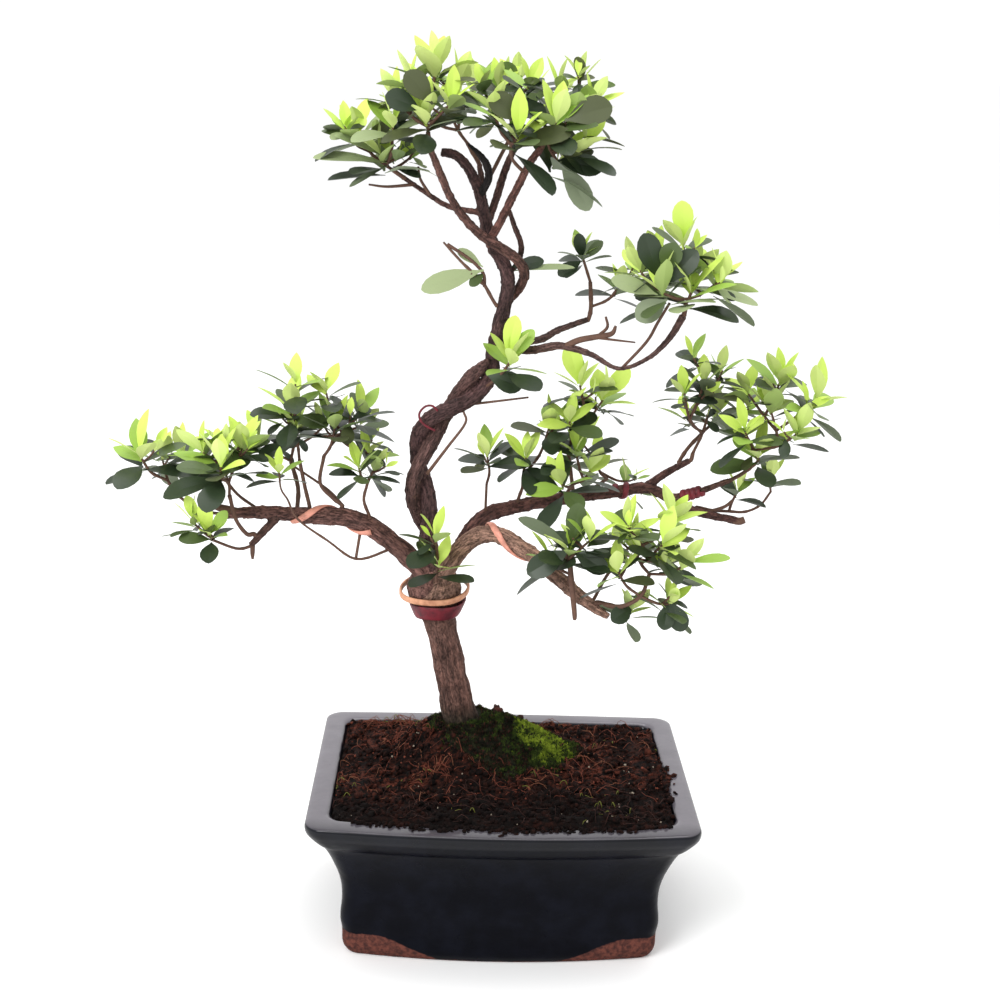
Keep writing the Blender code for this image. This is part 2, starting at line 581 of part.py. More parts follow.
# ---------------------------------------------------------------- foliage
# Each mass grows from one stem: where it leaves its limb (a share of the limb's length), the
# places that the stem passes, and its shoots.  A shoot is x, y, z, leaf count, leaf length, seed.
Mass = namedtuple("Mass", "limb share stem shoots")
FOLIAGE = {
    "left_tip_foliage": Mass("bough_left", 1.0, ((-159, -6, 223), (-170, -7, 231)), (
        (-188, -7, 251, 5, 29, 3), (-180, 10, 245, 3, 21, 2))),
    "left_low_foliage": Mass("branch_left_low", 1.0, ((-139, -16, 206), (-151, -18, 211)), (
        (-159, -21, 220, 5, 18, 4), (-150, -28, 217, 4, 17, 5))),
    "left_front_foliage": Mass("branch_left_low", 0.8, ((-134, -13, 213), (-139, -15, 221),
        (-142, -16, 234)), (
        (-146, -17, 250, 5, 28, 7), (-136, -10, 257, 5, 23, 8), (-156, -8, 254, 4, 23, 9),
        (-144, -30, 252, 3, 23, 10), (-140, 6, 254, 3, 22, 11))),
    "left_mid_foliage": Mass("bough_left", 0.69, ((-106, 4, 234), (-109, 6, 248)), (
        (-111, 7, 263, 5, 22, 12), (-113, 4, 275, 5, 24, 13), (-110, -2, 289, 3, 23, 14))),
    "left_high_foliage": Mass("bough_left", 0.56, ((-92, 3, 229), (-98, 2, 237), (-96, 2, 251)), (
        (-90, -2, 267, 5, 24, 15), (-95, 6, 283, 4, 23, 16), (-78, 6, 272, 5, 23, 17))),
    "left_inner_foliage": Mass("bough_left", 0.455, ((-75, -5, 230), (-73, -9, 240)), (
        (-77, -14, 249, 5, 20, 18), (-70, -3, 246, 4, 18, 19))),
    "left_under_foliage": Mass("bough_left", 0.30, ((-79, -4, 198), (-93, -9, 209), (-108, -12, 221),
        (-113, -14, 232)), (
        (-117, -15, 246, 4, 16, 21),)),
    "left_back_foliage": Mass("bough_left", 0.74, ((-111, 18, 230), (-116, 30, 241)), (
        (-113, 38, 258, 3, 22, 22), (-95, 44, 262, 3, 22, 23), (-134, 42, 250, 3, 21, 24),
        (-80, 32, 260, 3, 22, 27), (-74, 22, 248, 3, 20, 28))),
    "left_back_outer_foliage": Mass("bough_left", 0.90, ((-142, 12, 227), (-153, 23, 236)), (
        (-150, 34, 247, 3, 21, 25), (-172, 30, 244, 4, 21, 26))),
    "crown_left_foliage": Mass("crown_branch_far_left", 1.0, ((-63, 7, 396),), (
        (-68, 4, 401, 5, 27, 29), (-84, -2, 414, 4, 20, 30), (-79, 14, 414, 4, 22, 31),
        (-62, -12, 418, 4, 22, 32), (-54, 8, 402, 3, 15, 33))),
    "crown_top_left_foliage": Mass("crown_branch_left", 1.0, ((-45, -21, 416),), (
        (-46, -25, 422, 5, 24, 34), (-60, -4, 429, 4, 22, 35), (-42, -14, 444, 5, 26, 36),
        (-53, -10, 438, 4, 21, 37), (-35, -30, 429, 5, 21, 38), (-32, -4, 438, 4, 20, 39))),
    "crown_top_foliage": Mass("crown_branch_centre", 1.0, ((-4, 16, 416),), (
        (-12, 10, 437, 4, 19, 40), (-20, 6, 436, 4, 19, 41), (-3, 20, 440, 4, 19, 42),
        (3, 2, 438, 4, 20, 43))),
    "crown_right_foliage": Mass("crown_branch_right", 1.0, ((11, -19, 415),), (
        (15, -26, 422, 5, 24, 44), (23, -14, 420, 4, 28, 45), (29, -22, 412, 4, 21, 46),
        (17, -4, 437, 4, 20, 47),
        (28, 8, 441, 4, 19, 48), (33, -4, 430, 4, 20, 49),
        (17, -20, 404, 3, 28, 50))),
    "crown_front_foliage": Mass("crown_branch_right", 0.78, ((-5, -24, 405), (-6, -30, 412)), (
        (-3, -35, 415, 5, 27, 51), (-14, -30, 426, 5, 22, 52))),
    "crown_back_left_foliage": Mass("crown_branch_back", 1.0, ((-26, 33, 408),), (
        (-36, 40, 424, 3, 24, 53), (-49, 46, 421, 3, 24, 54), (-24, 46, 434, 3, 24, 55),
        (-57, 30, 426, 4, 24, 56))),
    "crown_back_right_foliage": Mass("crown_branch_back", 0.75, ((-8, 33, 405), (-2, 38, 416)), (
        (5, 44, 430, 3, 23, 57), (17, 38, 428, 3, 22, 58), (-8, 54, 431, 3, 24, 59))),
    "leader_left_foliage": Mass("trunk", 0.69, ((-16, 2, 341), (-19, 1, 345)), (
        (-23, -1, 347, 3, 30, 60), (-37, 0, 362, 0, 0, 62))),
    "leader_spray": Mass("trunk", 0.60, ((-7, -5, 297),), ((-2, -9, 305, 5, 22, 63),)),
    "fork_spray": Mass("trunk", 0.31, ((-37, -3, 190),), (
        (-36, -6, 196, 4, 22, 64), (-38, -8, 211, 3, 22, 65))),
    "upper_right_foliage": Mass("branch_upper_front", 1.0, ((82, -22, 338),), (
        (69, -29, 344, 5, 27, 68), (84, -24, 344, 5, 28, 69), (60, -12, 352, 4, 22, 70),
        (90, 4, 350, 5, 24, 71),
        (98, -16, 348, 5, 24, 72), (81, -6, 364, 5, 22, 73), (71, 8, 354, 4, 23, 74))),
    "upper_back_foliage": Mass("branch_upper_back", 1.0, ((40, 32, 327), (39, 31, 340)), (
        (34, 30, 354, 5, 17, 66), (54, 35, 337, 4, 20, 67), (62, 44, 346, 3, 22, 75),
        (80, 44, 348, 3, 23, 76))),
    "right_high_foliage": Mass("branch_right_fork", 1.0, ((98.5, 36, 249),), (
        (91, 29, 283, 4, 18, 78), (102, 36, 287, 4, 20, 79), (108, 47, 272, 3, 19, 80),
        (96, 40, 300, 3, 17, 81), (112, 49, 289, 4, 20, 77))),
    "far_right_foliage": Mass("branch_right_taped", 1.0, ((126, 32, 240), (131, 28, 246)), (
        (131, 22, 253, 5, 26, 82), (138, 34, 275, 5, 24, 83), (143, 38, 289, 5, 24, 84),
        (160, 26, 281, 4, 29, 85),
        (128, 46, 280, 4, 22, 86), (122, 14, 266, 4, 22, 87), (150, 16, 266, 4, 22, 88))),
    "right_end_foliage": Mass("bough_right_back", 0.90, ((112, 45, 215), (122, 47, 214), (131, 47, 214),
        (139, 47, 218), (144, 46, 226)), (
        (144, 45, 234, 3, 18, 89), (125, 42, 227, 3, 18, 90))),
    "mid_tall_foliage": Mass("bough_right_back", 0.52, ((31, 26, 250),), (
        (35, 18, 288, 4, 20, 91), (48, 26, 279, 5, 24, 92), (30, 12, 270, 5, 20, 93))),
    "mid_left_foliage": Mass("bough_right_back", 0.22, ((-12, 14, 235),), ((-12, 12, 250, 5, 21, 94),)),
    "mid_second_foliage": Mass("bough_right_back", 0.36, ((7, 19, 232),), (
        (8, 12, 250, 5, 20, 95), (20, 20, 265, 5, 22, 96))),
    "mid_right_foliage": Mass("bough_right_back", 0.50, ((34, 22, 234),), (
        (27, 5, 238, 5, 24, 97), (42, 16, 243, 3, 20, 98), (34, 14, 254, 4, 20, 99))),
    "mid_back_foliage": Mass("bough_right_back", 0.58, ((54, 46, 231),), (
        (50, 60, 237, 3, 21, 101), (66, 60, 226, 3, 19, 102), (40, 50, 250, 3, 22, 103))),
    "far_back_foliage": Mass("branch_right_fork", 0.85, ((97, 44, 250), (106, 53, 257)), (
        (114, 64, 263, 3, 22, 104), (132, 64, 268, 3, 22, 105), (98, 62, 262, 3, 20, 106))),
    "low_spray_foliage": Mass("bough_right_front", 0.80, ((30, -37, 203),), (
        (29, -43, 217, 5, 24, 107), (20, -34, 210, 3, 21, 108), (38, -48, 224, 4, 22, 109))),
    "low_back_foliage": Mass("bough_right_front", 0.90, ((50, -18, 196), (58, -2, 200)), (
        (66, 14, 204, 4, 22, 110), (84, 8, 196, 4, 22, 111))),
    "low_right_foliage": Mass("bough_right_front", 0.93, ((55, -44, 189), (65, -45, 195),
        (69, -43, 206)), (
        (57, -48, 231, 5, 22, 112), (74, -46, 222, 5, 24, 113), (80, -30, 230, 5, 24, 114),
        (53, -47, 208, 4, 20, 115),
        (86, -38, 209, 4, 23, 116), (62, -34, 216, 4, 24, 117), (80, -42, 190, 5, 20, 118),
        (61, -38, 184, 4, 18, 119))),
}

Leaf = namedtuple("Leaf", "base way normal length width")


def limb_point(name, share):
    """Place, direction and radius of a limb at a share of its path."""
    path = LIMBS[name].path
    at = min(max(share, 0.0), 1.0) * (len(path) - 1)
    i = min(int(at), len(path) - 2)
    t = at - i
    point = place(path[i]).lerp(place(path[i + 1]), t)
    way = (place(path[i + 1]) - place(path[i])).normalized()
    return point, way, path[i][3] * (1 - t) + path[i + 1][3] * t


def stem_start(mass):
    """Where a stem leaves its limb, 0.3 mm clear, and the way it sets out."""
    point, way, radius = limb_point(mass.limb, mass.share)
    if mass.share >= 1.0:
        return point + way * (GAP + 0.05), way
    toward = Vector(mass.stem[0]) - point
    toward = (toward - way * toward.dot(way)).normalized()
    return point + toward * (radius + GAP + STEM_SLACK), toward


def grow_twigs(name):
    """The twigs of one mass: its stem, then a branch to each shoot from the nearest place below."""
    mass = FOLIAGE[name]
    rng = random.Random(name)
    start, way = stem_start(mass)
    stem_radius = TWIG_TIP_RADIUS + 0.18 * min(4, len(mass.shoots))
    stem = [start, start + way * 2.0] + [Vector(p) for p in mass.stem]
    rows = [(*p, stem_radius - 0.1 * i) for i, p in enumerate(stem)]
    paths = [rows]
    joints = [(place(row), row[3]) for row in rows[2:]]
    ends = {}
    order = sorted(mass.shoots, key=lambda s: (Vector(s[:3]) - stem[-1]).length)
    for shoot in order:
        tip = Vector(shoot[:3])
        joint, radius = min(joints, key=lambda j: (j[0] - tip).length + (12 if j[0].z > tip.z - 3 else 0))
        reach = tip - joint
        swing = Vector((rng.uniform(-1, 1), rng.uniform(-1, 1), -0.8)) * reach.length * 0.10
        middle = joint + reach * 0.5 + swing
        twig_radius = min(radius, TWIG_TIP_RADIUS + 0.12)
        guide = [(*joint, twig_radius), (*middle, twig_radius), (*tip, TWIG_TIP_RADIUS)]
        path = [tuple(row) for row in guide]
        paths.append(path)
        joints += [(place(row), row[3]) for row in path[1:-1]]
        ends[shoot] = (tip - place(path[-2])).normalized()
    return paths, ends


def shoot_leaves(shoot, way):
    """For each leaf of a shoot, the few ways it may lie: old ones low, young ones upright."""
    x, y, z, count, length, seed = shoot
    rng = random.Random(seed)
    axis = (way * 0.6 + Vector((0, 0, 1))).normalized()
    side = (way - axis * way.dot(axis)).normalized()
    turn = rng.uniform(-FIRST_LEAF_SWING, FIRST_LEAF_SWING)
    for i in range(count):
        age = i / max(1, count - 1)
        size = length * (1.04 - 0.28 * age) * rng.uniform(0.88, 1.06)
        choices = []
        for attempt in range(LEAF_ATTEMPTS):
            spread = 0.25 + 0.12 * attempt
            angle = turn + math.radians(137.5) * i + rng.uniform(-spread, spread)
            rise = math.radians(-8 + 76 * age ** 1.3 + rng.uniform(-9, 9))
            outward = side * math.cos(angle) + axis.cross(side) * math.sin(angle)
            leaf_way = outward * math.cos(rise) + axis * math.sin(rise)
            normal = axis * math.cos(rise) - outward * math.sin(rise)
            base = Vector((x, y, z)) - axis * (1.0 - age) * SHOOT_LENGTH - leaf_way * LEAF_SUNK
            choices.append(Leaf(base, leaf_way, normal, size + LEAF_SUNK, size * LEAF_BREADTH))
        yield choices


def blade_of(leaf):
    """The leaf without its root, which is allowed to meet its own twig."""
    root = leaf.length * 0.3
    return leaf._replace(base=leaf.base + leaf.way * root, length=leaf.length - root)


def leaf_solid(leaf, grow=0.0):
    """A six-faced leaf: a long diamond, widest past its middle, with a low ridge on its back."""
    side = leaf.way.cross(leaf.normal).normalized()
    half = leaf.width / 2 + grow * 1.6
    wide = leaf.base + leaf.way * leaf.length * 0.56 - leaf.normal * grow
    ridge = leaf.base + leaf.way * leaf.length * 0.36 + leaf.normal * (LEAF_THICKNESS + grow)
    verts = [leaf.base - leaf.way * grow - leaf.normal * grow,
             leaf.base + leaf.way * (leaf.length + grow) - leaf.normal * grow,
             wide + side * half, wide - side * half, ridge]
    faces = [(0, 2, 4), (2, 1, 4), (1, 3, 4), (3, 0, 4), (0, 3, 2), (1, 2, 3)]
    return [v * 0.001 for v in verts], faces


class Space:
    """What already stands, so that a new twig or leaf can be tested for touching it."""

    def __init__(self):
        self.solids = []

    def add(self, owner, verts, faces):
        low = Vector(map(min, zip(*verts)))
        high = Vector(map(max, zip(*verts)))
        self.solids.append((owner, low, high, verts, faces))

    def touches(self, skipped_owner, verts, faces):
        low = Vector(map(min, zip(*verts)))
        high = Vector(map(max, zip(*verts)))
        tree = BVHTree.FromPolygons(verts, faces)
        for other, other_low, other_high, other_verts, other_faces in self.solids:
            if other == skipped_owner:
                continue
            if any(low[k] > other_high[k] or high[k] < other_low[k] for k in range(3)):
                continue
            if tree.overlap(BVHTree.FromPolygons(other_verts, other_faces)):
                return other
        return None


def is_closed(mesh):
    """Whether every edge has exactly two faces."""
    uses = Counter(key for face in mesh.polygons for key in face.edge_keys)
    return all(count == 2 for count in uses.values())


def fuse(name, solids):
    """One Boolean union of all of a mass's twigs and leaves, with fewer leaves where it fails."""
    while True:
        for solver in ("EXACT", "MANIFOLD"):
            whole = make_object(name, *solids[0], LEAF)
            rest = [make_object(f"{name}_{i}", *solid, LEAF) for i, solid in enumerate(solids[1:])]
            apply_boolean(whole, "UNION", rest, solver)
            if is_closed(whole.data):
                return
            print(name, "isn't closed by", solver)
            drop(whole)
        solids = solids[:-1]


def has_room(leaf, name, shoots, space):
    """Whether a leaf stays in its mass's own space and clear of everything, save at its root."""
    tip = leaf.base + leaf.way * leaf.length
    nearest = min(shoots, key=lambda s: (s[1] - tip).length - (SHARED_EDGE if s[0] == name else 0.0))
    if nearest[0] != name:
        return False
    if space.touches(name, *leaf_solid(leaf, LEAF_CLEARANCE)):
        return False
    return not space.touches(None, *leaf_solid(blade_of(leaf), GAP))


def make_foliage():
    space = Space()
    for made in list(bpy.data.objects):
        if made.type == "MESH":
            verts = [v.co.copy() for v in made.data.vertices]
            space.add(made.name, verts, [tuple(f.vertices) for f in made.data.polygons])
    twigs = {}
    ends = {}
    for name in FOLIAGE:
        paths, ends[name] = grow_twigs(name)
        twigs[name] = [tube(path, 3) for path in paths]
        for path in paths:
            hit = space.touches(name, *tube(path, 3, GAP * 0.6))
            if hit:
                print("twig of", name, "touches", hit)
    for name, solids in twigs.items():
        for verts, faces in solids:
            space.add(name, verts, faces)
    shoots = [(name, Vector(shoot[:3])) for name, mass in FOLIAGE.items() for shoot in mass.shoots]
    kept = skipped = 0
    for name, mass in FOLIAGE.items():
        solids = list(twigs[name])
        for shoot in mass.shoots:
            for choices in shoot_leaves(shoot, ends[name][shoot]):
                leaf = next((c for c in choices if has_room(c, name, shoots, space)), None)
                if leaf is None:
                    skipped += 1
                    continue
                solid = leaf_solid(leaf)
                space.add(name, *solid)
                solids.append(solid)
                kept += 1
        fuse(name, solids)
    print("leaves kept", kept, "skipped", skipped)


make_limbs()
make_pot()
make_soil()
make_moss()
make_fork_ties()
make_wires()
make_foliage()
total = sum(len(o.data.loop_triangles) or sum(len(p.vertices) - 2 for p in o.data.polygons)
            for o in bpy.data.objects if o.type == "MESH")
print("nodes", sum(o.type == "MESH" for o in bpy.data.objects), "triangles", total)
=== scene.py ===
import math
import random
from collections import namedtuple

import bpy
from mathutils import Matrix, Vector, noise
from mathutils.bvhtree import BVHTree
from mathutils.kdtree import KDTree


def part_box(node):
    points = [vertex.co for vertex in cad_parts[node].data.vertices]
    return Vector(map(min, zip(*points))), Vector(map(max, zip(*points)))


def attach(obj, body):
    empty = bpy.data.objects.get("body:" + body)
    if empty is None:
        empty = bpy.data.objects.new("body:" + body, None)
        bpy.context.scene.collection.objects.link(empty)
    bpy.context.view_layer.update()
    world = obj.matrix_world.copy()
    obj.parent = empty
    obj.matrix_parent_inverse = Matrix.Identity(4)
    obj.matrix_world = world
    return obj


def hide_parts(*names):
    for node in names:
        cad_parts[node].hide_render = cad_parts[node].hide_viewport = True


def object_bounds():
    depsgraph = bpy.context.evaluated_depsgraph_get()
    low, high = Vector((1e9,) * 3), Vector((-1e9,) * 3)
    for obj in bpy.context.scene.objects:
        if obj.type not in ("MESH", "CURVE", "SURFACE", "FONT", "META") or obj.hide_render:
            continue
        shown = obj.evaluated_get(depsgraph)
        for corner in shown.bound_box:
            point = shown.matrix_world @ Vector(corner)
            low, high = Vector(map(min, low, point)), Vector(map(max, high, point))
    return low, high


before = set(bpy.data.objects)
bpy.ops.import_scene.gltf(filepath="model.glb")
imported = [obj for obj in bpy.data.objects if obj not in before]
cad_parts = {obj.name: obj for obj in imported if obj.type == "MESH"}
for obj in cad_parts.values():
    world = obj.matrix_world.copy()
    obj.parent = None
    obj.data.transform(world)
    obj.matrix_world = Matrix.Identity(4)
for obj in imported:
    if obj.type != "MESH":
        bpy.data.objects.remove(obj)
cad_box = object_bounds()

# Sizes are in millimetres, measured from the middle of the pot at the table: X to the right,
# Y away from the viewer, Z up.  in_frame() turns them into the imported model's metres.

# ---------------------------------------------------------------- pot
# An oblong stoneware pot on four short feet, pressed in a mould.  It is dipped in a near-black
# glaze that stops short of the feet and leaves their red clay bare.  A pale painted reflection lies on the
# rim's flat top.
POT_LOW, POT_HIGH = (Vector(corner) * 1000 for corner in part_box("pot"))
POT_LENGTH = POT_HIGH.x - POT_LOW.x
POT_HEIGHT = POT_HIGH.z - POT_LOW.z
POT_WIDTH = 150.0
POT_FRONT_BOW = 7.5
POT_BACK_BOW = 1.5
POT_WALL = 8.5
FOOT_HEIGHT = 8.0
FOOT_ARCH = 56.0
FOOT_MARGIN = 6.0           # the arch's cutter runs on this far to each side
FOOT_BELOW = 2.0            # and starts this far under the pot
ARCH_STEPS = 24
CORNER_RADIUS = 9.0
LEAST_CORNER = 3.0
CORNER_SHRINK = 0.12        # an inner ring's corner is tighter by this share of its inset
BARE_FOOT = 12.5            # height of the bare clay at the four corners
BARE_ALONG = (26.0, 66.0)   # it rises towards a corner between these distances from the middle
BARE_ACROSS = (14.0, 44.0)
POT_MIDDLE = Vector(((POT_LOW.x + POT_HIGH.x) / 2, POT_HIGH.y - POT_WIDTH / 2 - POT_BACK_BOW, POT_LOW.z))
# how far the wall stands in from the rim's edge, and how far below the rim
POT_OUTSIDE = ((1.2, 0.0), (0.0, 1.6), (0.3, 5.0), (1.6, 7.5), (6.2, 14.0), (8.0, 15.0), (12.0, 23.0),
               (17.2, 38.0), (18.2, 50.0), (16.8, 61.0), (18.2, 68.0), (18.0, 76.0), (20.0, 80.0))
POT_INSIDE = ((POT_WALL + 0.8, 0.0), (POT_WALL + 2.2, 0.3), (POT_WALL + 3.8, 1.6), (POT_WALL + 4.6, 5.0),
              (19.0, 17.0), (29.0, 67.0))
CORNER_STEPS = 10
SIDE_STEPS = 24
POT_EDGE_ANGLE = 38         # an edge sharper than this, in degrees, is shaded sharp

GLAZE_DEEP = (0.0013, 0.0015, 0.0034)
GLAZE_THIN = (0.0034, 0.0040, 0.0080)
RIM_PAINTED_REFLECTION = (0.165, 0.150, 0.175)    # the pale painted reflection on the rim's flat top
RIM_TOP_DEPTH = 4.0
LIP_DEPTH = (8.0, 5.0)      # the lip's gloss begins and is full at these depths below the rim
CLAY_RED = (0.135, 0.046, 0.034)
CLAY_DARK = (0.046, 0.020, 0.018)
REFLECTION_FADE_FRONT = (60.0, 74.0)   # the painted reflection falls to half from here towards the front edge


def in_frame(point):
    """A place in millimetres from the pot's middle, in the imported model's metres."""
    return (POT_MIDDLE + Vector(point)) * 0.001


def make_piece(name, verts, faces, surfaces, face_surfaces=None):
    """A smooth-shaded mesh piece from places in millimetres."""
    mesh = bpy.data.meshes.new(name)
    mesh.from_pydata([in_frame(v) for v in verts], [], faces)
    for surface in surfaces:
        mesh.materials.append(surface)
    if face_surfaces:
        mesh.polygons.foreach_set("material_index", face_surfaces)
    mesh.polygons.foreach_set("use_smooth", [True] * len(mesh.polygons))
    made = bpy.data.objects.new(name, mesh)
    bpy.context.collection.objects.link(made)
    return made


def settle(piece, slot, *nodes):
    """The piece stands for these nodes, which are hidden, and goes with the whole plant; slot is not used."""
    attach(piece, "root")
    if nodes:
        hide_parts(*nodes)


class Shade:
    """A socket of a surface's nodes.  Arithmetic on it adds Math nodes."""

    def __init__(self, tree, socket=None):
        self.tree = tree
        self.socket = socket

    def node(self, kind, settings=None, sockets=None, output=0):
        """A new node: its settings come first, then the values or links of its sockets."""
        made = self.tree.nodes.new("ShaderNode" + kind)
        for name, value in (settings or {}).items():
            setattr(made, name, value)
        for name, value in (sockets or {}).items():
            if isinstance(value, Shade):
                self.tree.links.new(value.socket, made.inputs[name])
            else:
                made.inputs[name].default_value = value
        return Shade(self.tree, made.outputs[output])

    def maths(self, operation, first, second=0.0):
        return self.node("Math", {"operation": operation}, {0: first, 1: second})

    def __add__(self, other):
        return self.maths("ADD", self, other)

    def __sub__(self, other):
        return self.maths("SUBTRACT", self, other)

    def __rsub__(self, other):
        return self.maths("SUBTRACT", other, self)

    def __mul__(self, other):
        return self.maths("MULTIPLY", self, other)

    def __abs__(self):
        return self.maths("ABSOLUTE", self)

    __radd__ = __add__
    __rmul__ = __mul__


def new_surface(name, **constants):
    """A material, its shader with the constant sockets set, and a blank shade to start nodes from."""
    made = bpy.data.materials.new(name)
    made.use_nodes = True
    shader = made.node_tree.nodes["Principled BSDF"]
    for socket, value in constants.items():
        shader.inputs[socket.replace("_", " ")].default_value = value
    return made, shader, Shade(made.node_tree)


def feed(shader, socket, shade):
    shader.id_data.links.new(shade.socket, shader.inputs[socket])


def rising(value, low, high):
    """0 below low, 1 above high, and a soft rise between."""
    return value.node("MapRange", {"interpolation_type": "SMOOTHSTEP"},
                      {"Value": value, "From Min": low, "From Max": high})


def tint(mask, low, high):
    """From colour low to colour high as the mask goes from 0 to 1."""
    low, high = (c if isinstance(c, Shade) else (*c, 1.0) for c in (low, high))
    return mask.node("Mix", {"data_type": "RGBA"}, {0: mask, 6: low, 7: high}, 2)


def mottle(where, size, detail=3.0, rough=0.55):
    """Uneven patches, 0 to 1, of about the given size in millimetres."""
    return where.node("TexNoise", None,
                      {"Vector": where, "Scale": 1000 / size, "Detail": detail, "Roughness": rough})


def relief(shader, height, depth):
    """Small relief of the given depth in millimetres."""
    feed(shader, "Normal", height.node("Bump", None, {"Height": height, "Distance": depth * 0.001}))


def rounded(rows, passes=2):
    """An open outline with its corners cut twice, which rounds them."""
    for _ in range(passes):
        cut = [rows[0]]
        for a, b in zip(rows, rows[1:]):
            cut.append(tuple(0.75 * p + 0.25 * q for p, q in zip(a, b)))
            cut.append(tuple(0.25 * p + 0.75 * q for p, q in zip(a, b)))
        rows = cut + [rows[-1]]
    return rows


def pot_ring(inset, depth):
    """A rounded oblong with swelling long sides, at one depth below the rim."""
    half_x = POT_LENGTH / 2 - inset
    half_y = POT_WIDTH / 2 - inset
    corner = max(LEAST_CORNER, CORNER_RADIUS - CORNER_SHRINK * inset)
    outline = []
    for quarter, (sign_x, sign_y) in enumerate(((1, 1), (-1, 1), (-1, -1), (1, -1))):
        for k in range(CORNER_STEPS + 1):
            turn = math.pi / 2 * (quarter + k / CORNER_STEPS)
            outline.append((sign_x * (half_x - corner) + corner * math.cos(turn),
                            sign_y * (half_y - corner) + corner * math.sin(turn)))
        last_x, last_y = outline[-1]
        if quarter in (0, 2):
            for k in range(1, SIDE_STEPS):
                outline.append((last_x * (1 - 2 * k / SIDE_STEPS), last_y))
    ring = []
    for x, y in outline:
        bow = POT_BACK_BOW if y > 0 else -POT_FRONT_BOW
        swell = max(0.0, 1.0 - (x / half_x) ** 2) * min(1.0, abs(y) / (half_y * 0.7))
        ring.append(Vector((x, y + bow * swell, POT_HEIGHT - depth)))
    return ring


def tube_faces(rings, sides, closed=False):
    """The faces of a skin through equal rings, capped at both ends or closed on itself."""
    faces = []
    for i in range(rings if closed else rings - 1):
        a, b = i * sides, (i + 1) % rings * sides
        for k in range(sides):
            after = (k + 1) % sides
            faces.append((a + k, a + after, b + after, b + k))
    if not closed:
        faces += [tuple(reversed(range(sides))), tuple(range((rings - 1) * sides, rings * sides))]
    return faces


def loft(rings):
    """A closed skin through equal rings of points."""
    return [point for ring in rings for point in ring], tube_faces(len(rings), len(rings[0]))


def arch_cutter(along_x):
    """A long bar with a low arched top, the shape of the gap between two feet."""
    profile = [(-FOOT_ARCH / 2 - FOOT_MARGIN, -FOOT_BELOW)]
    for k in range(ARCH_STEPS + 1):
        share = k / ARCH_STEPS
        profile.append((FOOT_ARCH * (share - 0.5), FOOT_HEIGHT * math.sin(math.pi * k / ARCH_STEPS) ** 0.6))
    profile.append((FOOT_ARCH / 2 + FOOT_MARGIN, -FOOT_BELOW))
    rings = [[Vector((end, u, w)) if along_x else Vector((u, -end, w)) for u, w in profile]
             for end in (-POT_LENGTH, POT_LENGTH)]
    return make_piece("arch", *loft(rings), [])


def finished_mesh(made):
    """The piece's mesh with its modifiers worked in."""
    depsgraph = bpy.context.evaluated_depsgraph_get()
    result = bpy.data.meshes.new_from_object(made.evaluated_get(depsgraph))
    made.modifiers.clear()
    made.data = result
    return result


glaze, glaze_shader, blank = new_surface("dark_glaze", Specular_IOR_Level=0.05, Coat_Roughness=0.08)
pot_where = blank.node("TexCoord", output="Object")
pot_x, pot_y, pot_z = (blank.node("SeparateXYZ", None, {0: pot_where}, axis) for axis in range(3))
from_middle = abs(pot_x * 1000 - POT_MIDDLE.x)
from_spine = abs(pot_y * 1000 - POT_MIDDLE.y)
glaze_edge = (BARE_FOOT * rising(from_middle, *BARE_ALONG) * rising(from_spine, *BARE_ACROSS)
              + (mottle(pot_where, 7.0) - 0.5) * 3.0)
above_edge = pot_z * 1000 - glaze_edge
slope = blank.node("SeparateXYZ", None, {0: blank.node("NewGeometry", output="Normal")}, 2)
facing_down = rising(0 - slope, 0.8, 0.9)
clay = blank.maths("MAXIMUM", 1 - rising(above_edge, -0.4, 0.4), facing_down)
cloud = mottle(pot_where, 14.0, 4.0)
# painted reflection: the rim's flat top is given a pale colour for the glaze's reflection of the bright room,
# fainter towards the front edge
at_rim = rising(pot_z * 1000, POT_HEIGHT - RIM_TOP_DEPTH, POT_HEIGHT - 0.5 * RIM_TOP_DEPTH)
rim_top = rising(slope, 0.55, 0.95) * at_rim
reflection_fade = rising(0 - (pot_y * 1000 - POT_MIDDLE.y), *REFLECTION_FADE_FRONT)
painted_reflection = rim_top * (0.55 + cloud * 0.5) * (1 - reflection_fade * 0.5)
glaze_colour = tint(painted_reflection, tint(rising(cloud, 0.35, 0.75), GLAZE_DEEP, GLAZE_THIN), RIM_PAINTED_REFLECTION)
clay_colour = tint(rising(mottle(pot_where, 2.2, 5.0), 0.3, 0.7), CLAY_DARK, CLAY_RED)
feed(glaze_shader, "Base Color", tint(clay, glaze_colour, clay_colour))
feed(glaze_shader, "Roughness", clay * 0.52 + 0.30 + (mottle(pot_where, 5.0) - 0.5) * 0.14)
lip = rising(pot_z * 1000, POT_HEIGHT - LIP_DEPTH[0], POT_HEIGHT - LIP_DEPTH[1])
feed(glaze_shader, "Coat Weight", (1 - clay) * 0.03 + lip * 0.35 + rim_top * 0.5)
pitted = mottle(pot_where, 0.8, 2.0) * (0.04 + clay * 0.3)
relief(glaze_shader, mottle(pot_where, 9.0, 2.0) * 0.7 + pitted, 0.35)

pot_outline = rounded(tuple(reversed(POT_OUTSIDE)) + POT_INSIDE)
pot = make_piece("glazed_pot", *loft([pot_ring(*row) for row in pot_outline]), [glaze])
for along_x in (True, False):
    arch = arch_cutter(along_x)
    cut = pot.modifiers.new("arch", "BOOLEAN")
    cut.object = arch
    cut.operation = "DIFFERENCE"
    cut.solver = "EXACT"
    finished_mesh(pot)
    bpy.data.objects.remove(arch, do_unlink=True)
pot.data.set_sharp_from_angle(angle=math.radians(POT_EDGE_ANGLE))
settle(pot, "glaze", "pot")

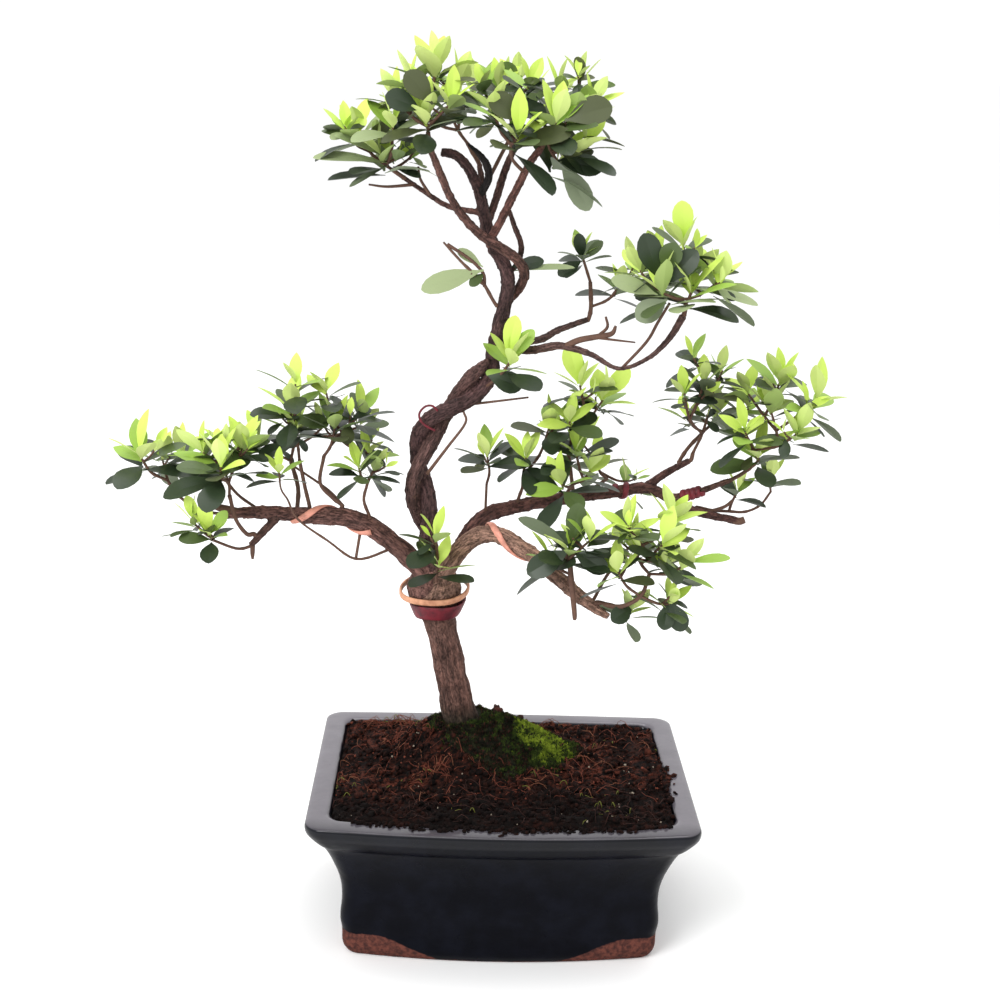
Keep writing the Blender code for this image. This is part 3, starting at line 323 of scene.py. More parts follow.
# ---------------------------------------------------------------- soil
# Dark crumbly peat pressed into the pot and heaped at the trunk.  Rusty root fibres, chaff and a
# few grains of pale grit lie in it, and crumbs have spilt onto the front and right of the rim.
SOIL_RIM = 78.0
SOIL_TOP = 97.6
TRUNK_FOOT = (-22.0, 20.0, 98.0)
TRUNK_CLEAR = 11.0          # the mound is level, and bare of moss, this close to the trunk's middle
MOUND_SPREAD = 21.0
RIDGE = (12, 22, 26, 17, 13.0)      # a low ridge right of the trunk: x, y, reach along x and y, height
SOIL_SHARES = 58
CRUMBS = 6400
FIBRES = 760
TANGLES = 16                # spots where the root fibres lie thick
GRIT = 70
CHAFF = 70
SPILT = 60                  # crumbs on the rim's right side
FRONT_SPILL = 420           # and on its front
RUSTY_SIZE = 1.1            # only crumbs smaller than this can be rusty
SOIL_SIDE = 86.5            # crumbs and fibres lie this far to each side of the middle,
SOIL_BACK = 62.0            # this far behind it
SOIL_FRONT = 69.0           # and at most this far before it
BRIM_SIDE = 88.0            # the soil's edge at the rim's two ends
FIBRE_STEPS = 6
ANY_TURN = 6.3              # a full turn or a little over, for small things turned at random
UP = Vector((0, 0, 1))

PEAT_BLACK = (0.0030, 0.0016, 0.0014)
PEAT_BROWN = (0.105, 0.028, 0.017)
DARKER_FRONT = (8.0, 58.0)    # the peat grows darker between here and the front


def soil_height(x, y):
    """The soil's top: level near the rim, a mound at the trunk and a low ridge to its right."""
    off_trunk = math.hypot(x - TRUNK_FOOT[0], y - TRUNK_FOOT[1])
    outside = max(0.0, off_trunk - TRUNK_CLEAR)
    mound = (SOIL_TOP - SOIL_RIM) * math.exp(-(outside / MOUND_SPREAD) ** 2)
    ridge_x, ridge_y, along, across, height = RIDGE
    ridge = height * math.exp(-(((x - ridge_x) / along) ** 2 + ((y - ridge_y) / across) ** 2))
    lumps = 0.8 * math.sin(0.21 * x + 1.1) * math.cos(0.19 * y - 0.4) * min(1.0, outside / 8)
    edge = min(1.0, (POT_LENGTH / 2 - abs(x)) / 40, (POT_WIDTH / 2 - abs(y)) / 34)
    return SOIL_RIM + (max(mound, 0.75 * (mound + ridge)) + lumps) * min(1.0, max(0.0, edge * 1.6 - 0.4))


def ease(value):
    """0 below 0, 1 above 1, and a soft rise between."""
    value = min(1.0, max(0.0, value))
    return value * value * (3 - 2 * value)


def soil_top(x, y):
    """The soil's top with its crumbly unevenness."""
    spot = Vector((x, y, 0))
    inside = BRIM_SIDE - abs(x)
    heap_up = 2.2 * max(0.0, noise.noise(spot / 16.0 + Vector((4, 1, 0)))) * min(1.0, inside / 14)
    brim = 2.6 * ease((-y - 46) / 18) * ease(inside / 22)
    return (soil_height(x, y) + heap_up + brim + 1.9 * noise.noise(spot / 7.0)
            + 1.2 * noise.noise(spot / 2.6) + 0.2)


def on_soil(rng):
    """A random place on the soil, inside the pot's rim."""
    while True:
        x = rng.uniform(-SOIL_SIDE, SOIL_SIDE)
        y = rng.uniform(-SOIL_FRONT, SOIL_BACK)
        if y > -61.5 - POT_FRONT_BOW * (1 - (x / BRIM_SIDE) ** 2) * 0.9:
            return x, y


def any_way(rng):
    """A random direction."""
    return Vector((rng.gauss(0, 1), rng.gauss(0, 1), rng.gauss(0, 1))).normalized()


def swung(first, second, turn):
    """The direction that lies turned from the first towards the second, in radians."""
    return first * math.cos(turn) + second * math.sin(turn)


GOLDEN = (1 + math.sqrt(5)) / 2
CRUMB_CORNERS = [Vector(v).normalized() for v in (
    (-1, GOLDEN, 0), (1, GOLDEN, 0), (-1, -GOLDEN, 0), (1, -GOLDEN, 0), (0, -1, GOLDEN), (0, 1, GOLDEN),
    (0, -1, -GOLDEN), (0, 1, -GOLDEN), (GOLDEN, 0, -1), (GOLDEN, 0, 1), (-GOLDEN, 0, -1), (-GOLDEN, 0, 1))]
CRUMB_FACES = ((0, 11, 5), (0, 5, 1), (0, 1, 7), (0, 7, 10), (0, 10, 11), (1, 5, 9), (5, 11, 4), (11, 10, 2),
               (10, 7, 6), (7, 1, 8), (3, 9, 4), (3, 4, 2), (3, 2, 6), (3, 6, 8), (3, 8, 9), (4, 9, 5),
               (2, 4, 11), (6, 2, 10), (8, 6, 7), (9, 8, 1))


class Heap:
    """Vertices, faces and surfaces of many small things that are joined into one piece."""

    def __init__(self):
        self.verts = []
        self.faces = []
        self.kinds = []

    def add(self, verts, faces, kind=0):
        start = len(self.verts)
        self.verts += verts
        self.faces += [tuple(start + i for i in face) for face in faces]
        self.kinds += [kind] * len(faces)

    def crumb(self, rng, centre, size, kind=0):
        """A knobbly grain: a ball of twenty faces, squashed and pushed out of true."""
        squash = Vector((rng.uniform(0.7, 1.2), rng.uniform(0.7, 1.2), rng.uniform(0.5, 0.9)))
        turn = Matrix.Rotation(rng.uniform(0, ANY_TURN), 3, any_way(rng))
        self.add([centre + turn @ (corner * squash * size * rng.uniform(0.72, 1.2))
                  for corner in CRUMB_CORNERS], CRUMB_FACES, kind)

    def strand(self, path, sides, kind=0):
        """A thin tube along (x, y, z, radius) rows."""
        points = [Vector(row[:3]) for row in path]
        side = None
        verts = []
        for i, point in enumerate(points):
            way = (points[min(i + 1, len(points) - 1)] - points[max(i - 1, 0)]).normalized()
            side = way.orthogonal() if side is None else side - way * side.dot(way)
            side.normalize()
            across = way.cross(side)
            for k in range(sides):
                turn = 2 * math.pi * k / sides
                verts.append(point + swung(side, across, turn) * path[i][3])
        self.add(verts, tube_faces(len(path), sides), kind)

    def piece(self, name, surfaces):
        return make_piece(name, self.verts, self.faces, surfaces, self.kinds)


peat, peat_shader, blank = new_surface("peat", Specular_IOR_Level=0.12)
peat_where = blank.node("TexCoord", output="Object")
peat_y = blank.node("SeparateXYZ", None, {0: peat_where}, 1)
front_darkening = rising(POT_MIDDLE.y - peat_y * 1000, *DARKER_FRONT)
rust_drifts = rising(mottle(peat_where, 30.0, 2.0), 0.40, 0.62)
rust = rising(mottle(peat_where, 3.5, 5.0, 0.7), 0.42, 0.66) * (0.25 + rust_drifts * 0.75)
feed(peat_shader, "Base Color", tint(rust * (1 - front_darkening * 0.8), PEAT_BLACK, PEAT_BROWN))
feed(peat_shader, "Roughness", 0.78 + mottle(peat_where, 1.5) * 0.2)
relief(peat_shader, mottle(peat_where, 0.9, 4.0, 0.7), 0.8)


def fibre_surface(name, colour, shadow):
    """Dry plant matter, darker in streaks."""
    made, shader, start = new_surface(name, Specular_IOR_Level=0.3)
    where = start.node("TexCoord", output="Object")
    feed(shader, "Base Color", tint(mottle(where, 1.2, 4.0), shadow, colour))
    feed(shader, "Roughness", 0.66 + mottle(where, 2.0) * 0.25)
    relief(shader, mottle(where, 0.4), 0.1)
    return made


rust_fibre = fibre_surface("rust_fibre", (0.27, 0.065, 0.032), (0.040, 0.010, 0.008))
straw_fibre = fibre_surface("straw_fibre", (0.33, 0.13, 0.065), (0.09, 0.03, 0.018))
dark_front_fibre = fibre_surface("dark_front_fibre", (0.060, 0.018, 0.012), (0.016, 0.006, 0.005))
pale_grit = fibre_surface("pale_grit", (0.42, 0.36, 0.28), (0.16, 0.12, 0.09))
green_chaff = fibre_surface("green_chaff", (0.25, 0.26, 0.045), (0.04, 0.05, 0.010))

soil_edge = pot_ring(POT_INSIDE[2][0] + 0.4, POT_HEIGHT - SOIL_RIM)
rings = [pot_ring(inset + 0.4, depth - 0.3) for inset, depth in reversed(POT_INSIDE[3:])]
for step in range(SOIL_SHARES):
    share = 0.93 * step / (SOIL_SHARES - 1)
    ring = []
    for point in soil_edge:
        x = point.x + (TRUNK_FOOT[0] - point.x) * share
        y = point.y + (TRUNK_FOOT[1] - point.y) * share
        ring.append(Vector((x, y, soil_top(x, y) - (0.0 if step else 1.2))))
    rings.append(ring)
soil = make_piece("peat_soil", *loft(rings), [peat])
settle(soil, "soil", "soil")

rng = random.Random("crumbs")
heap = Heap()
for _ in range(CRUMBS):
    x, y = on_soil(rng)
    size = 0.45 + 2.2 * rng.random() ** 4
    rusty = size < RUSTY_SIZE and rng.random() < 0.16 * ease((y + 50) / 50)
    heap.crumb(rng, Vector((x, y, soil_top(x, y) + size * 0.3)), size, 1 if rusty else 0)
for _ in range(GRIT):
    x, y = on_soil(rng)
    heap.crumb(rng, Vector((x, y, soil_top(x, y) + 0.5)), rng.uniform(0.35, 0.8), 2)
for _ in range(SPILT):
    along = rng.gauss(-12, 11)
    out = 86.0 + abs(rng.gauss(0, 3.0))
    heap.crumb(rng, Vector((out, along, POT_HEIGHT + 0.4)), rng.uniform(0.7, 2.3), 0)
for _ in range(FRONT_SPILL):
    along = rng.uniform(-76, 84)
    rim = -POT_WIDTH / 2 - POT_FRONT_BOW * (1 - (along / 100.0) ** 2) + POT_WALL
    out = rim + 2.5 - abs(rng.gauss(0, 2.3)) * ease((86 - abs(along)) / 30)
    heap.crumb(rng, Vector((along, out, POT_HEIGHT + rng.uniform(-0.6, 0.9))), rng.uniform(0.6, 1.9), 0)
settle(heap.piece("soil_crumbs", [peat, rust_fibre, pale_grit]), "soil")

heap = Heap()
tangles = [on_soil(rng) for _ in range(TANGLES)]
for k in range(FIBRES + CHAFF):
    x, y = on_soil(rng)
    if rng.random() < 0.72:
        knot = rng.choice(tangles)
        x = min(86.0, max(-86.0, knot[0] + rng.gauss(0, 9)))
        y = min(SOIL_BACK, max(-66.0, knot[1] + 14 + rng.gauss(0, 7)))
    heading = rng.uniform(0, 2 * math.pi)
    chaff = k >= FIBRES
    stride = rng.uniform(0.5, 1.0) if chaff else rng.uniform(1.2, 3.2)
    thick = rng.uniform(0.14, 0.30) if chaff else rng.uniform(0.10, 0.24)
    arch = rng.uniform(0.0, 4.5) if rng.random() < 0.4 else rng.uniform(0.0, 0.9)
    path = []
    for i in range(FIBRE_STEPS):
        height = soil_top(x, y) + 0.5 + arch * math.sin(math.pi * i / (FIBRE_STEPS - 1))
        path.append((x, y, height, thick * (1 - 0.5 * i / FIBRE_STEPS)))
        heading += rng.uniform(-0.55, 0.55)
        x = min(87.0, max(-87.0, x + stride * math.cos(heading)))
        y = min(SOIL_BACK, max(-67.0, y + stride * math.sin(heading)))
    # fibres towards the front take a darker colour, as the peat does there
    in_dark_front = y < rng.uniform(-45, -15)
    heap.strand(path, 4, 2 if chaff else (3 if in_dark_front else (1 if rng.random() < 0.25 else 0)))
settle(heap.piece("soil_fibres", [rust_fibre, straw_fibre, green_chaff, dark_front_fibre]), "soil")

# ---------------------------------------------------------------- moss
# A living cushion of moss over the mound at the trunk's foot.  It is bright where it is fresh,
# to the right of the trunk, and dark green and partly brown elsewhere.
MOSS_MIDDLE = (1.0, 15.0)
MOSS_REACH = (40.0, 25.0)
MOSS_RINGS = 34
MOSS_SIDES = 88
TUFTS = 10500
FRESH_MOSS = (22.0, 15.0)   # the middle of the brightest patch
FRESH_SPREAD = 13.0
# peat clods at the cushion's back, as x, y and size
LUMPS = ((-2, 30, 3.6), (3, 33, 2.8), (9, 31, 3.0), (14, 27, 2.4), (-8, 30, 2.2))
LUMP_GRAINS = 9
BRIGHT_FROM = 0.52          # how fresh a tuft is when it is bright, and when it is green
GREEN_FROM = 0.12
BROWN_SHARE = 0.25          # the share of the other tufts that are brown
TUFT_BLADES = 4


def moss_edge(turn):
    """The wavy edge of the cushion, as a share of its plain reach."""
    return 1.0 + 0.12 * math.sin(3 * turn + 0.5) + 0.07 * math.sin(7 * turn)


def moss_place(turn, share):
    """A place on the cushion, at a share of the way from its middle to its edge."""
    return (MOSS_MIDDLE[0] + MOSS_REACH[0] * share * moss_edge(turn) * math.cos(turn),
            MOSS_MIDDLE[1] + MOSS_REACH[1] * share * moss_edge(turn) * math.sin(turn))


def moss_top(x, y, share):
    """The cushion's top, at a share of the way from its middle to its edge."""
    cushion = 5.6 * math.sqrt(max(0.0, 1 - share ** 3)) - (0.4 if share < 0.98 else 1.0)
    spot = Vector((x, y, 3.0))
    return soil_height(x, y) + cushion + 2.0 * noise.noise(spot / 6.0) + 1.0 * noise.noise(spot / 2.2)


def moss_surface(name, dark, light):
    made, shader, start = new_surface(name, Specular_IOR_Level=0.2)
    where = start.node("TexCoord", output="Object")
    feed(shader, "Base Color", tint(rising(mottle(where, 3.0, 4.0), 0.3, 0.7), dark, light))
    feed(shader, "Roughness", 0.7 + mottle(where, 1.0) * 0.25)
    relief(shader, mottle(where, 0.6, 4.0, 0.7), 0.5)
    return made


moss_dark = moss_surface("moss_dark", (0.0045, 0.0048, 0.0022), (0.018, 0.019, 0.006))
moss_green = moss_surface("moss_green", (0.010, 0.018, 0.004), (0.060, 0.095, 0.013))
moss_bright = moss_surface("moss_bright", (0.09, 0.14, 0.010), (0.36, 0.46, 0.045))
moss_brown = moss_surface("moss_brown", (0.018, 0.007, 0.005), (0.10, 0.030, 0.022))

rings = []
for step in range(MOSS_RINGS):
    share = 1 - 0.97 * step / (MOSS_RINGS - 1)
    ring = []
    for k in range(MOSS_SIDES):
        turn = 2 * math.pi * k / MOSS_SIDES
        x, y = moss_place(turn, share)
        ring.append(Vector((x, y, moss_top(x, y, share))))
    rings.append(ring)
rings.insert(0, [point - Vector((0, 0, 5)) for point in rings[0]])
cushion = make_piece("moss_cushion", *loft(rings), [moss_dark])
settle(cushion, "moss", "moss")

rng = random.Random("moss")
heap = Heap()
for x, y, size in LUMPS:
    for _ in range(LUMP_GRAINS):
        centre = Vector((x, y, moss_top(x, y, 0.5))) + any_way(rng) * size * 0.5
        heap.crumb(rng, centre, size * rng.uniform(0.4, 0.8), 3)
for _ in range(TUFTS):
    turn = rng.uniform(0, 2 * math.pi)
    share = math.sqrt(rng.random()) * 1.06
    x, y = moss_place(turn, share)
    if math.hypot(x - TRUNK_FOOT[0], y - TRUNK_FOOT[1]) < TRUNK_CLEAR:
        continue
    foot = Vector((x, y, moss_top(x, y, min(share, 1.0)) - 0.3))
    fresh = math.exp(-((x - FRESH_MOSS[0]) ** 2 + (y - FRESH_MOSS[1]) ** 2) / FRESH_SPREAD ** 2)
    fresh += 0.55 * noise.noise(foot / 7.0) + 0.35 * noise.noise(foot / 2.5) + rng.uniform(-0.15, 0.15)
    if fresh > GREEN_FROM:
        kind = 2 if fresh > BRIGHT_FROM else 1
    else:
        kind = 3 if rng.random() < BROWN_SHARE else 0
    lean = (UP + any_way(rng) * 0.45).normalized()
    side = lean.orthogonal().normalized()
    height = rng.uniform(1.0, 2.3)
    for _ in range(TUFT_BLADES):
        around = rng.uniform(0, ANY_TURN)
        out = swung(side, lean.cross(side), around)
        across = lean.cross(out) * rng.uniform(0.16, 0.30)
        middle = foot + lean * height * 0.45 + out * height * 0.22
        tip = foot + lean * height * rng.uniform(0.7, 1.1) + out * height * rng.uniform(0.3, 0.7)
        heap.add([foot, middle + across, tip, middle - across], [(0, 1, 2), (0, 2, 3)], kind)
settle(heap.piece("moss_tufts", [moss_dark, moss_green, moss_bright, moss_brown]), "moss")

# ---------------------------------------------------------------- trunk and limbs
# The living wood: one short trunk that swells at the fork, two leader strands wound round each
# other as young shoots, and boughs bent into place.  The thin bark splits in fine cracks along
# the wood, brown low down, purplish on the leader and dark where the foot stays damp.
GRAIN = 0.62                # size of the mesh that the limbs are fused into
WIND_PITCH = 74.0           # length along the leader in which its strands go round once
WIND_OFFSET = 4.15          # how far each strand winds from the leader's middle line
WIND_START = 53.0           # the length at which the first strand lies behind
LEADER_FIRST = 10.0         # the length at which the leader's guide begins
LEADER_END = 400.0          # more than its whole length
TWIN_FOOT = (-38.0, 13, 186, 4.2)   # where the second strand starts, in the fork
TWIN_FIRST = 12.0           # the lengths at which it joins the first, and has died away
TWIN_END = 124.0
TWIN_FADE = 16.0
LEAST_TWIN = 0.7            # radius of its tip
LIMB_SIDES = 20
TRUNK_STEPS = 6             # rings between two rows of a guide
LIMB_STEPS = 7
# middle lines of the limbs, as x, y, z and radius; those in LIMB_GUIDES follow their bark's colour
TRUNK_GUIDE = (
    (*TRUNK_FOOT, 11.6), (-22.8, 19.4, 101, 10.2), (-24.6, 18.5, 109, 9.5), (-26.9, 17.6, 120, 8.9),
    (-29.5, 17, 133, 8.5), (-32.2, 16, 146, 8.4), (-34.8, 15, 158, 8.9), (-36.6, 14.5, 167, 11.6),
    (-37.8, 14, 174, 14.3), (-38.6, 13.5, 180, 14.4), (-39.4, 12.5, 187, 10.8), (-40.4, 12, 194, 6.4))
LEADER_GUIDE = (
    (-41.5, 11, 203, 4.4), (-43.5, 10.5, 214, 4.1), (-46.0, 10, 227, 4.0), (-47.8, 10, 240, 4.0),
    (-47.0, 10, 251, 4.0), (-43.0, 9, 263, 4.0), (-36.5, 8, 272.5, 4.0), (-27.5, 7, 281, 3.9),
    (-18.5, 6, 290.5, 3.8), (-12.0, 5, 303, 3.8), (-8.5, 5, 318, 3.7), (-5.6, 5, 330, 3.7),
    (-4.2, 5, 341, 3.6), (-6.0, 4, 350, 3.5), (-11.0, 3, 358, 3.4), (-14.6, 3, 366, 3.3),
    (-17.0, 2, 375, 3.1), (-19.0, 2, 384, 2.9), (-22.0, 2, 392, 2.7), (-27.0, 1, 400, 2.5),
    (-32.5, 1, 404.5, 2.3), (-39.0, 0, 405.5, 2.1))
LIMB_GUIDES = {
    "bough_left": ((0.210, 0.100, 0.082), (
        (-38, 12, 181, 5.6), (-46, 9, 190, 5.6), (-55, 8, 199, 5.3), (-64, 6, 207, 5.1),
        (-74, 4, 214.5, 5.1), (-87, 2, 219, 4.8), (-101, 0, 219.5, 4.3), (-114, -2, 221, 3.8),
        (-129, -4, 222, 3.3), (-145, -5, 221, 2.6))),
    "branch_left_low": ((0.140, 0.072, 0.058), (
        (-119, -3, 220, 2.2), (-123, -6, 216, 2.1), (-127, -9, 212, 2.0), (-132, -13, 207, 1.7))),
    "bough_right_front": ((0.360, 0.205, 0.150), (
        (-36, 11, 180, 5.6), (-31, 8, 192, 5.2), (-24, 4, 203, 4.9), (-15, -2, 212, 4.7),
        (-4, -10, 214, 4.4), (11, -18, 207, 4.2), (24, -26, 198, 3.9), (38, -34, 188.5, 3.3),
        (50, -40, 182, 1.7))),
    "bough_right_back": ((0.140, 0.060, 0.050), (
        (-25, 6, 201, 4.4), (-20, 14, 209, 4.3), (-11, 22, 216, 4.1), (1, 26, 219, 3.8), (20, 30, 222, 3.6),
        (42, 33, 225, 3.4), (61, 36, 227, 3.2), (77, 38, 228, 3.0), (101, 40, 216, 2.5),
        (127, 42, 210, 2.0))),
    "branch_right_fork": ((0.130, 0.058, 0.050), (
        (73, 38.5, 228, 2.4), (79, 40, 232, 2.2), (87, 38, 238.5, 2.0), (97, 36, 245, 1.7))),
    "branch_right_taped": ((0.150, 0.075, 0.058), (
        (86, 38, 223, 2.2), (93, 37, 224.5, 2.1), (101, 36, 227, 1.9), (109, 35, 230.5, 1.7),
        (119, 34, 235, 1.5))),
    "branch_upper_front": ((0.150, 0.080, 0.070), (
        (-10, 5, 306, 2.6), (-3, 1, 309, 2.4), (9, -4, 310, 2.2), (22, -10, 313.5, 2.1),
        (37, -14, 310.5, 1.5), (51, -19, 304.5, 1.1), (65, -22, 310.5, 1.2), (75, -22, 321, 1.6),
        (81, -22, 332, 1.9))),
    "branch_upper_back": ((0.130, 0.070, 0.062), (
        (-8, 6, 311, 2.4), (0, 12, 311, 2.2), (13, 15, 312, 2.0), (22, 20, 316, 1.8), (31, 26, 318.5, 1.6),
        (38, 30, 320.5, 1.5))),
    "crown_branch_left": ((0.170, 0.080, 0.065), (
        (-4.0, 12.2, 331, 1.6), (1.2, 11.0, 338, 2.4), (3.8, 4.5, 347, 2.6), (-0.5, -3.0, 355, 2.6),
        (-9, -6.5, 361, 2.5), (-16, -7.5, 365, 2.4), (-25, -11, 373, 2.2), (-33, -16, 384, 2.0),
        (-39, -20, 397, 1.9), (-44, -22, 409, 1.6))),
    "crown_branch_right": ((0.200, 0.085, 0.068), (
        (-14, 2, 361, 2.1), (-12.5, -4.5, 367, 2.1), (-9, -8, 374, 2.1), (-6, -10, 381, 2.1),
        (-2, -13, 390, 2.0), (4, -17, 403, 1.9), (9, -18, 410, 1.6))),
    "crown_branch_centre": ((0.130, 0.062, 0.052), (
        (-15.5, 4, 371, 2.0), (-12.0, 8, 381, 2.0), (-9, 12, 391, 2.0), (-6, 14, 400, 1.8),
        (-3, 16, 407, 1.6))),
    "crown_branch_far_left": ((0.150, 0.070, 0.058), (
        (-17.5, 2, 376, 1.5), (-22, 3, 377, 1.5), (-35, 6, 379, 1.4), (-46, 8, 385, 1.3),
        (-57, 8, 392, 1.1))),
    "crown_branch_back": ((0.120, 0.060, 0.050), (
        (-17, 3, 372, 1.8), (-17.5, 10, 378, 1.8), (-18, 19, 388, 1.7), (-20, 28, 398, 1.4))),
    "crown_strand": ((0.110, 0.055, 0.046), (
        (-3.2, 7, 347, 1.4), (1.2, 10.5, 353, 1.5), (1.8, 12.5, 361, 1.5), (-1.5, 13.5, 369, 1.4),
        (-4.5, 15.8, 377, 1.2))),
    "leader_snag": ((0.016, 0.011, 0.011), (
        (-19, 1, 386, 1.9), (-15.5, -3.5, 394, 2.0), (-17, -4.5, 401, 1.9), (-21, -4.5, 406, 1.4),
        (-26, -4, 410, 0.7))),
}
TRUNK_BROWN = (0.200, 0.098, 0.076)
TWIN_TONE = (0.130, 0.066, 0.058)
DAMP_TONE = (0.040, 0.030, 0.018)
MOSSY_FOOT = (99.0, 20.0)   # the bark is damp and dark up to this height, and dries over this much
LEADER_PURPLE = (0.100, 0.050, 0.048)
PURPLE_FROM = (170, 30)     # the trunk turns purplish from this height, over this much
CRACK_DEPTH = 0.65          # on thick wood
CRACK_SHARE = 0.16          # noise nearer to its middle than this is a crack
JOINT_SPACING = 9.0         # from one swollen ring to the next, on thin limbs
JOINT_SWELL = 0.09          # how far they swell, as a share of the radius
THIN_LIMB = 4.6             # the radius under which they show


def smooth_path(guide, steps):
    """Catmull-Rom points through (x, y, z, radius) rows."""
    rows = [Vector(row) for row in guide]
    rows = [rows[0] * 2 - rows[1]] + rows + [rows[-1] * 2 - rows[-2]]
    path = []
    for a, b, c, d in zip(rows, rows[1:], rows[2:], rows[3:]):
        for k in range(steps):
            t = k / steps
            path.append(0.5 * (2 * b + (c - a) * t + (2 * a - 5 * b + 4 * c - d) * t * t
                               + (3 * b - a - 3 * c + d) * t ** 3))
    path.append(rows[-2])
    return [tuple(row) for row in path]


def place(row):
    """The place in a row that starts with x, y and z."""
    return Vector(row[:3])


def way_at(path, i):
    """The direction of a path of rows at row i."""
    return (place(path[min(i + 1, len(path) - 1)]) - place(path[max(i - 1, 0)])).normalized()


def wound_strand(half_turn, first, last):
    """One strand of the twisted pair, between two lengths along the leader."""
    axis = smooth_path(LEADER_GUIDE, TRUNK_STEPS)
    length = LEADER_FIRST
    strand = []
    for i, row in enumerate(axis):
        if i:
            length += (place(row) - place(axis[i - 1])).length
        if not first <= length <= last:
            continue
        way = way_at(axis, i)
        side = Vector((0, 1, 0)).cross(way).normalized()
        depth = way.cross(side)
        turn = math.radians(90 + half_turn + 360 * (length - WIND_START) / WIND_PITCH)
        offset = WIND_OFFSET * ease((length - 6) / 14) * (1 - ease((length - TWIN_END + 8) / TWIN_FADE))
        radius = row[3]
        if half_turn:
            fading = math.sqrt(ease((TWIN_END - length) / TWIN_FADE + 0.12))
            radius = max(LEAST_TWIN, radius * 0.96 * fading)
        strand.append((*(place(row) + swung(side, depth, turn) * offset), radius))
    return strand


LIMBS = {"trunk": smooth_path(TRUNK_GUIDE, TRUNK_STEPS) + wound_strand(0, LEADER_FIRST, LEADER_END),
         "leader_twin": [TWIN_FOOT] + wound_strand(180, TWIN_FIRST, TWIN_END)}
LIMB_TONES = {"trunk": TRUNK_BROWN, "leader_twin": TWIN_TONE}
for name, (tone, guide) in LIMB_GUIDES.items():
    LIMBS[name] = smooth_path(guide, LIMB_STEPS)
    LIMB_TONES[name] = tone

Ring = namedtuple("Ring", "point way side across radius length tone")
limb_rings = []
heap = Heap()
for name, path in LIMBS.items():
    heap.strand(path, LIMB_SIDES)
    length = 0.0
    side = None
    for i, row in enumerate(path):
        point = place(row)
        way = way_at(path, i)
        side = way.orthogonal() if side is None else side - way * side.dot(way)
        side.normalize()
        if i:
            length += (point - place(path[i - 1])).length
        tone = Vector(LIMB_TONES[name])
        if name == "trunk":
            tone = tone.lerp(Vector(LEADER_PURPLE), ease((point.z - PURPLE_FROM[0]) / PURPLE_FROM[1]))
        limb_rings.append(Ring(point, way, side.copy(), way.cross(side), row[3], length, tone))

wood = heap.piece("wood", [])
fused = wood.modifiers.new("fused", "REMESH")
fused.mode = "VOXEL"
fused.voxel_size = GRAIN * 0.001
finished_mesh(wood)

ring_finder = KDTree(len(limb_rings))
for i, ring in enumerate(limb_rings):
    ring_finder.insert(ring.point, i)
ring_finder.balance()

grain = []
tones = []
moved = []
for vert in wood.data.vertices:
    point = vert.co * 1000 - POT_MIDDLE
    near = [(limb_rings[i], gap - limb_rings[i].radius) for _, i, gap in ring_finder.find_n(point, 5)]
    ring, depth = min(near, key=lambda pair: pair[1])
    off = point - ring.point
    flat = Vector((off.dot(ring.side), off.dot(ring.across), ring.length + off.dot(ring.way)))
    stretched = Vector((flat.x, flat.y, flat.z * 0.16))
    crack = abs(noise.noise(stretched / (0.30 * ring.radius ** 0.5 + 0.5)))
    lumps = (noise.noise(flat / (ring.radius * 1.6)) * 0.13
             + noise.noise(flat / (ring.radius * 0.6)) * 0.06) * ring.radius
    joint = math.exp(-((flat.z / JOINT_SPACING + noise.noise(ring.tone * 90)) % 1.0 - 0.5) ** 2 / 0.006)
    rough = min(1.0, ring.radius / 6.0)
    lift = (lumps + joint * JOINT_SWELL * ring.radius * (ring.radius < THIN_LIMB)
            - rough * CRACK_DEPTH * max(0.0, CRACK_SHARE - crack) / CRACK_SHARE)
    moved.extend(vert.co + vert.normal * lift * 0.001)
    grain.extend((flat.x, flat.y, flat.z))
    # painted light and shade: bark facing up is made lighter, and bark facing sideways or down darker
    painted_top_light = 0.84 + 0.36 * max(0.0, vert.normal.z)
    split = 0.75 - 0.40 * ease((ring.radius - 5) / 3)
    cracked = split * min(CRACK_SHARE, crack) / CRACK_SHARE
    weathered = 1.17 - split + 0.34 * noise.noise(point / 9.0) + cracked
    dampness = 1 - ease((point.z - MOSSY_FOOT[0]) / MOSSY_FOOT[1])
    tones.extend((*(ring.tone * painted_top_light * weathered).lerp(Vector(DAMP_TONE), dampness), 1.0))
wood.data.vertices.foreach_set("co", moved)
wood.data.attributes.new("grain", "FLOAT_VECTOR", "POINT").data.foreach_set("vector", grain)
wood.data.attributes.new("tone", "FLOAT_COLOR", "POINT").data.foreach_set("color", tones)
wood.data.polygons.foreach_set("use_smooth", [True] * len(wood.data.polygons))
wood.data.update()

bark, bark_shader, blank = new_surface("bark", Specular_IOR_Level=0.3)
along_grain = blank.node("Attribute", {"attribute_name": "grain"}, None, 1)
limb_tone = blank.node("Attribute", {"attribute_name": "tone"}, None, 0)
pulled, squashed = (along_grain.node("VectorMath", {"operation": "MULTIPLY"}, {0: along_grain, 1: by})
                    for by in ((1.0, 1.0, 0.14), (0.2, 0.2, 1.0)))
fine_cracks = rising(abs(mottle(pulled, 900.0, 3.0, 0.6) - 0.5), 0.0, 0.06)
flakes = mottle(pulled, 2600.0, 4.0, 0.6)
bands = mottle(squashed, 1800.0)
weather = 0.20 + fine_cracks * 0.28 + rising(flakes, 0.30, 0.72) * 0.66 + (bands - 0.5) * 0.5
feed(bark_shader, "Base Color",
     limb_tone.node("VectorMath", {"operation": "SCALE"}, {0: limb_tone, "Scale": weather}))
feed(bark_shader, "Roughness", 0.9 - flakes * 0.3)
relief(bark_shader, fine_cracks * 0.8 + flakes * 1.0 + bands * 0.3, 0.5)
wood.data.materials.append(bark)
settle(wood, "bark", *LIMBS)

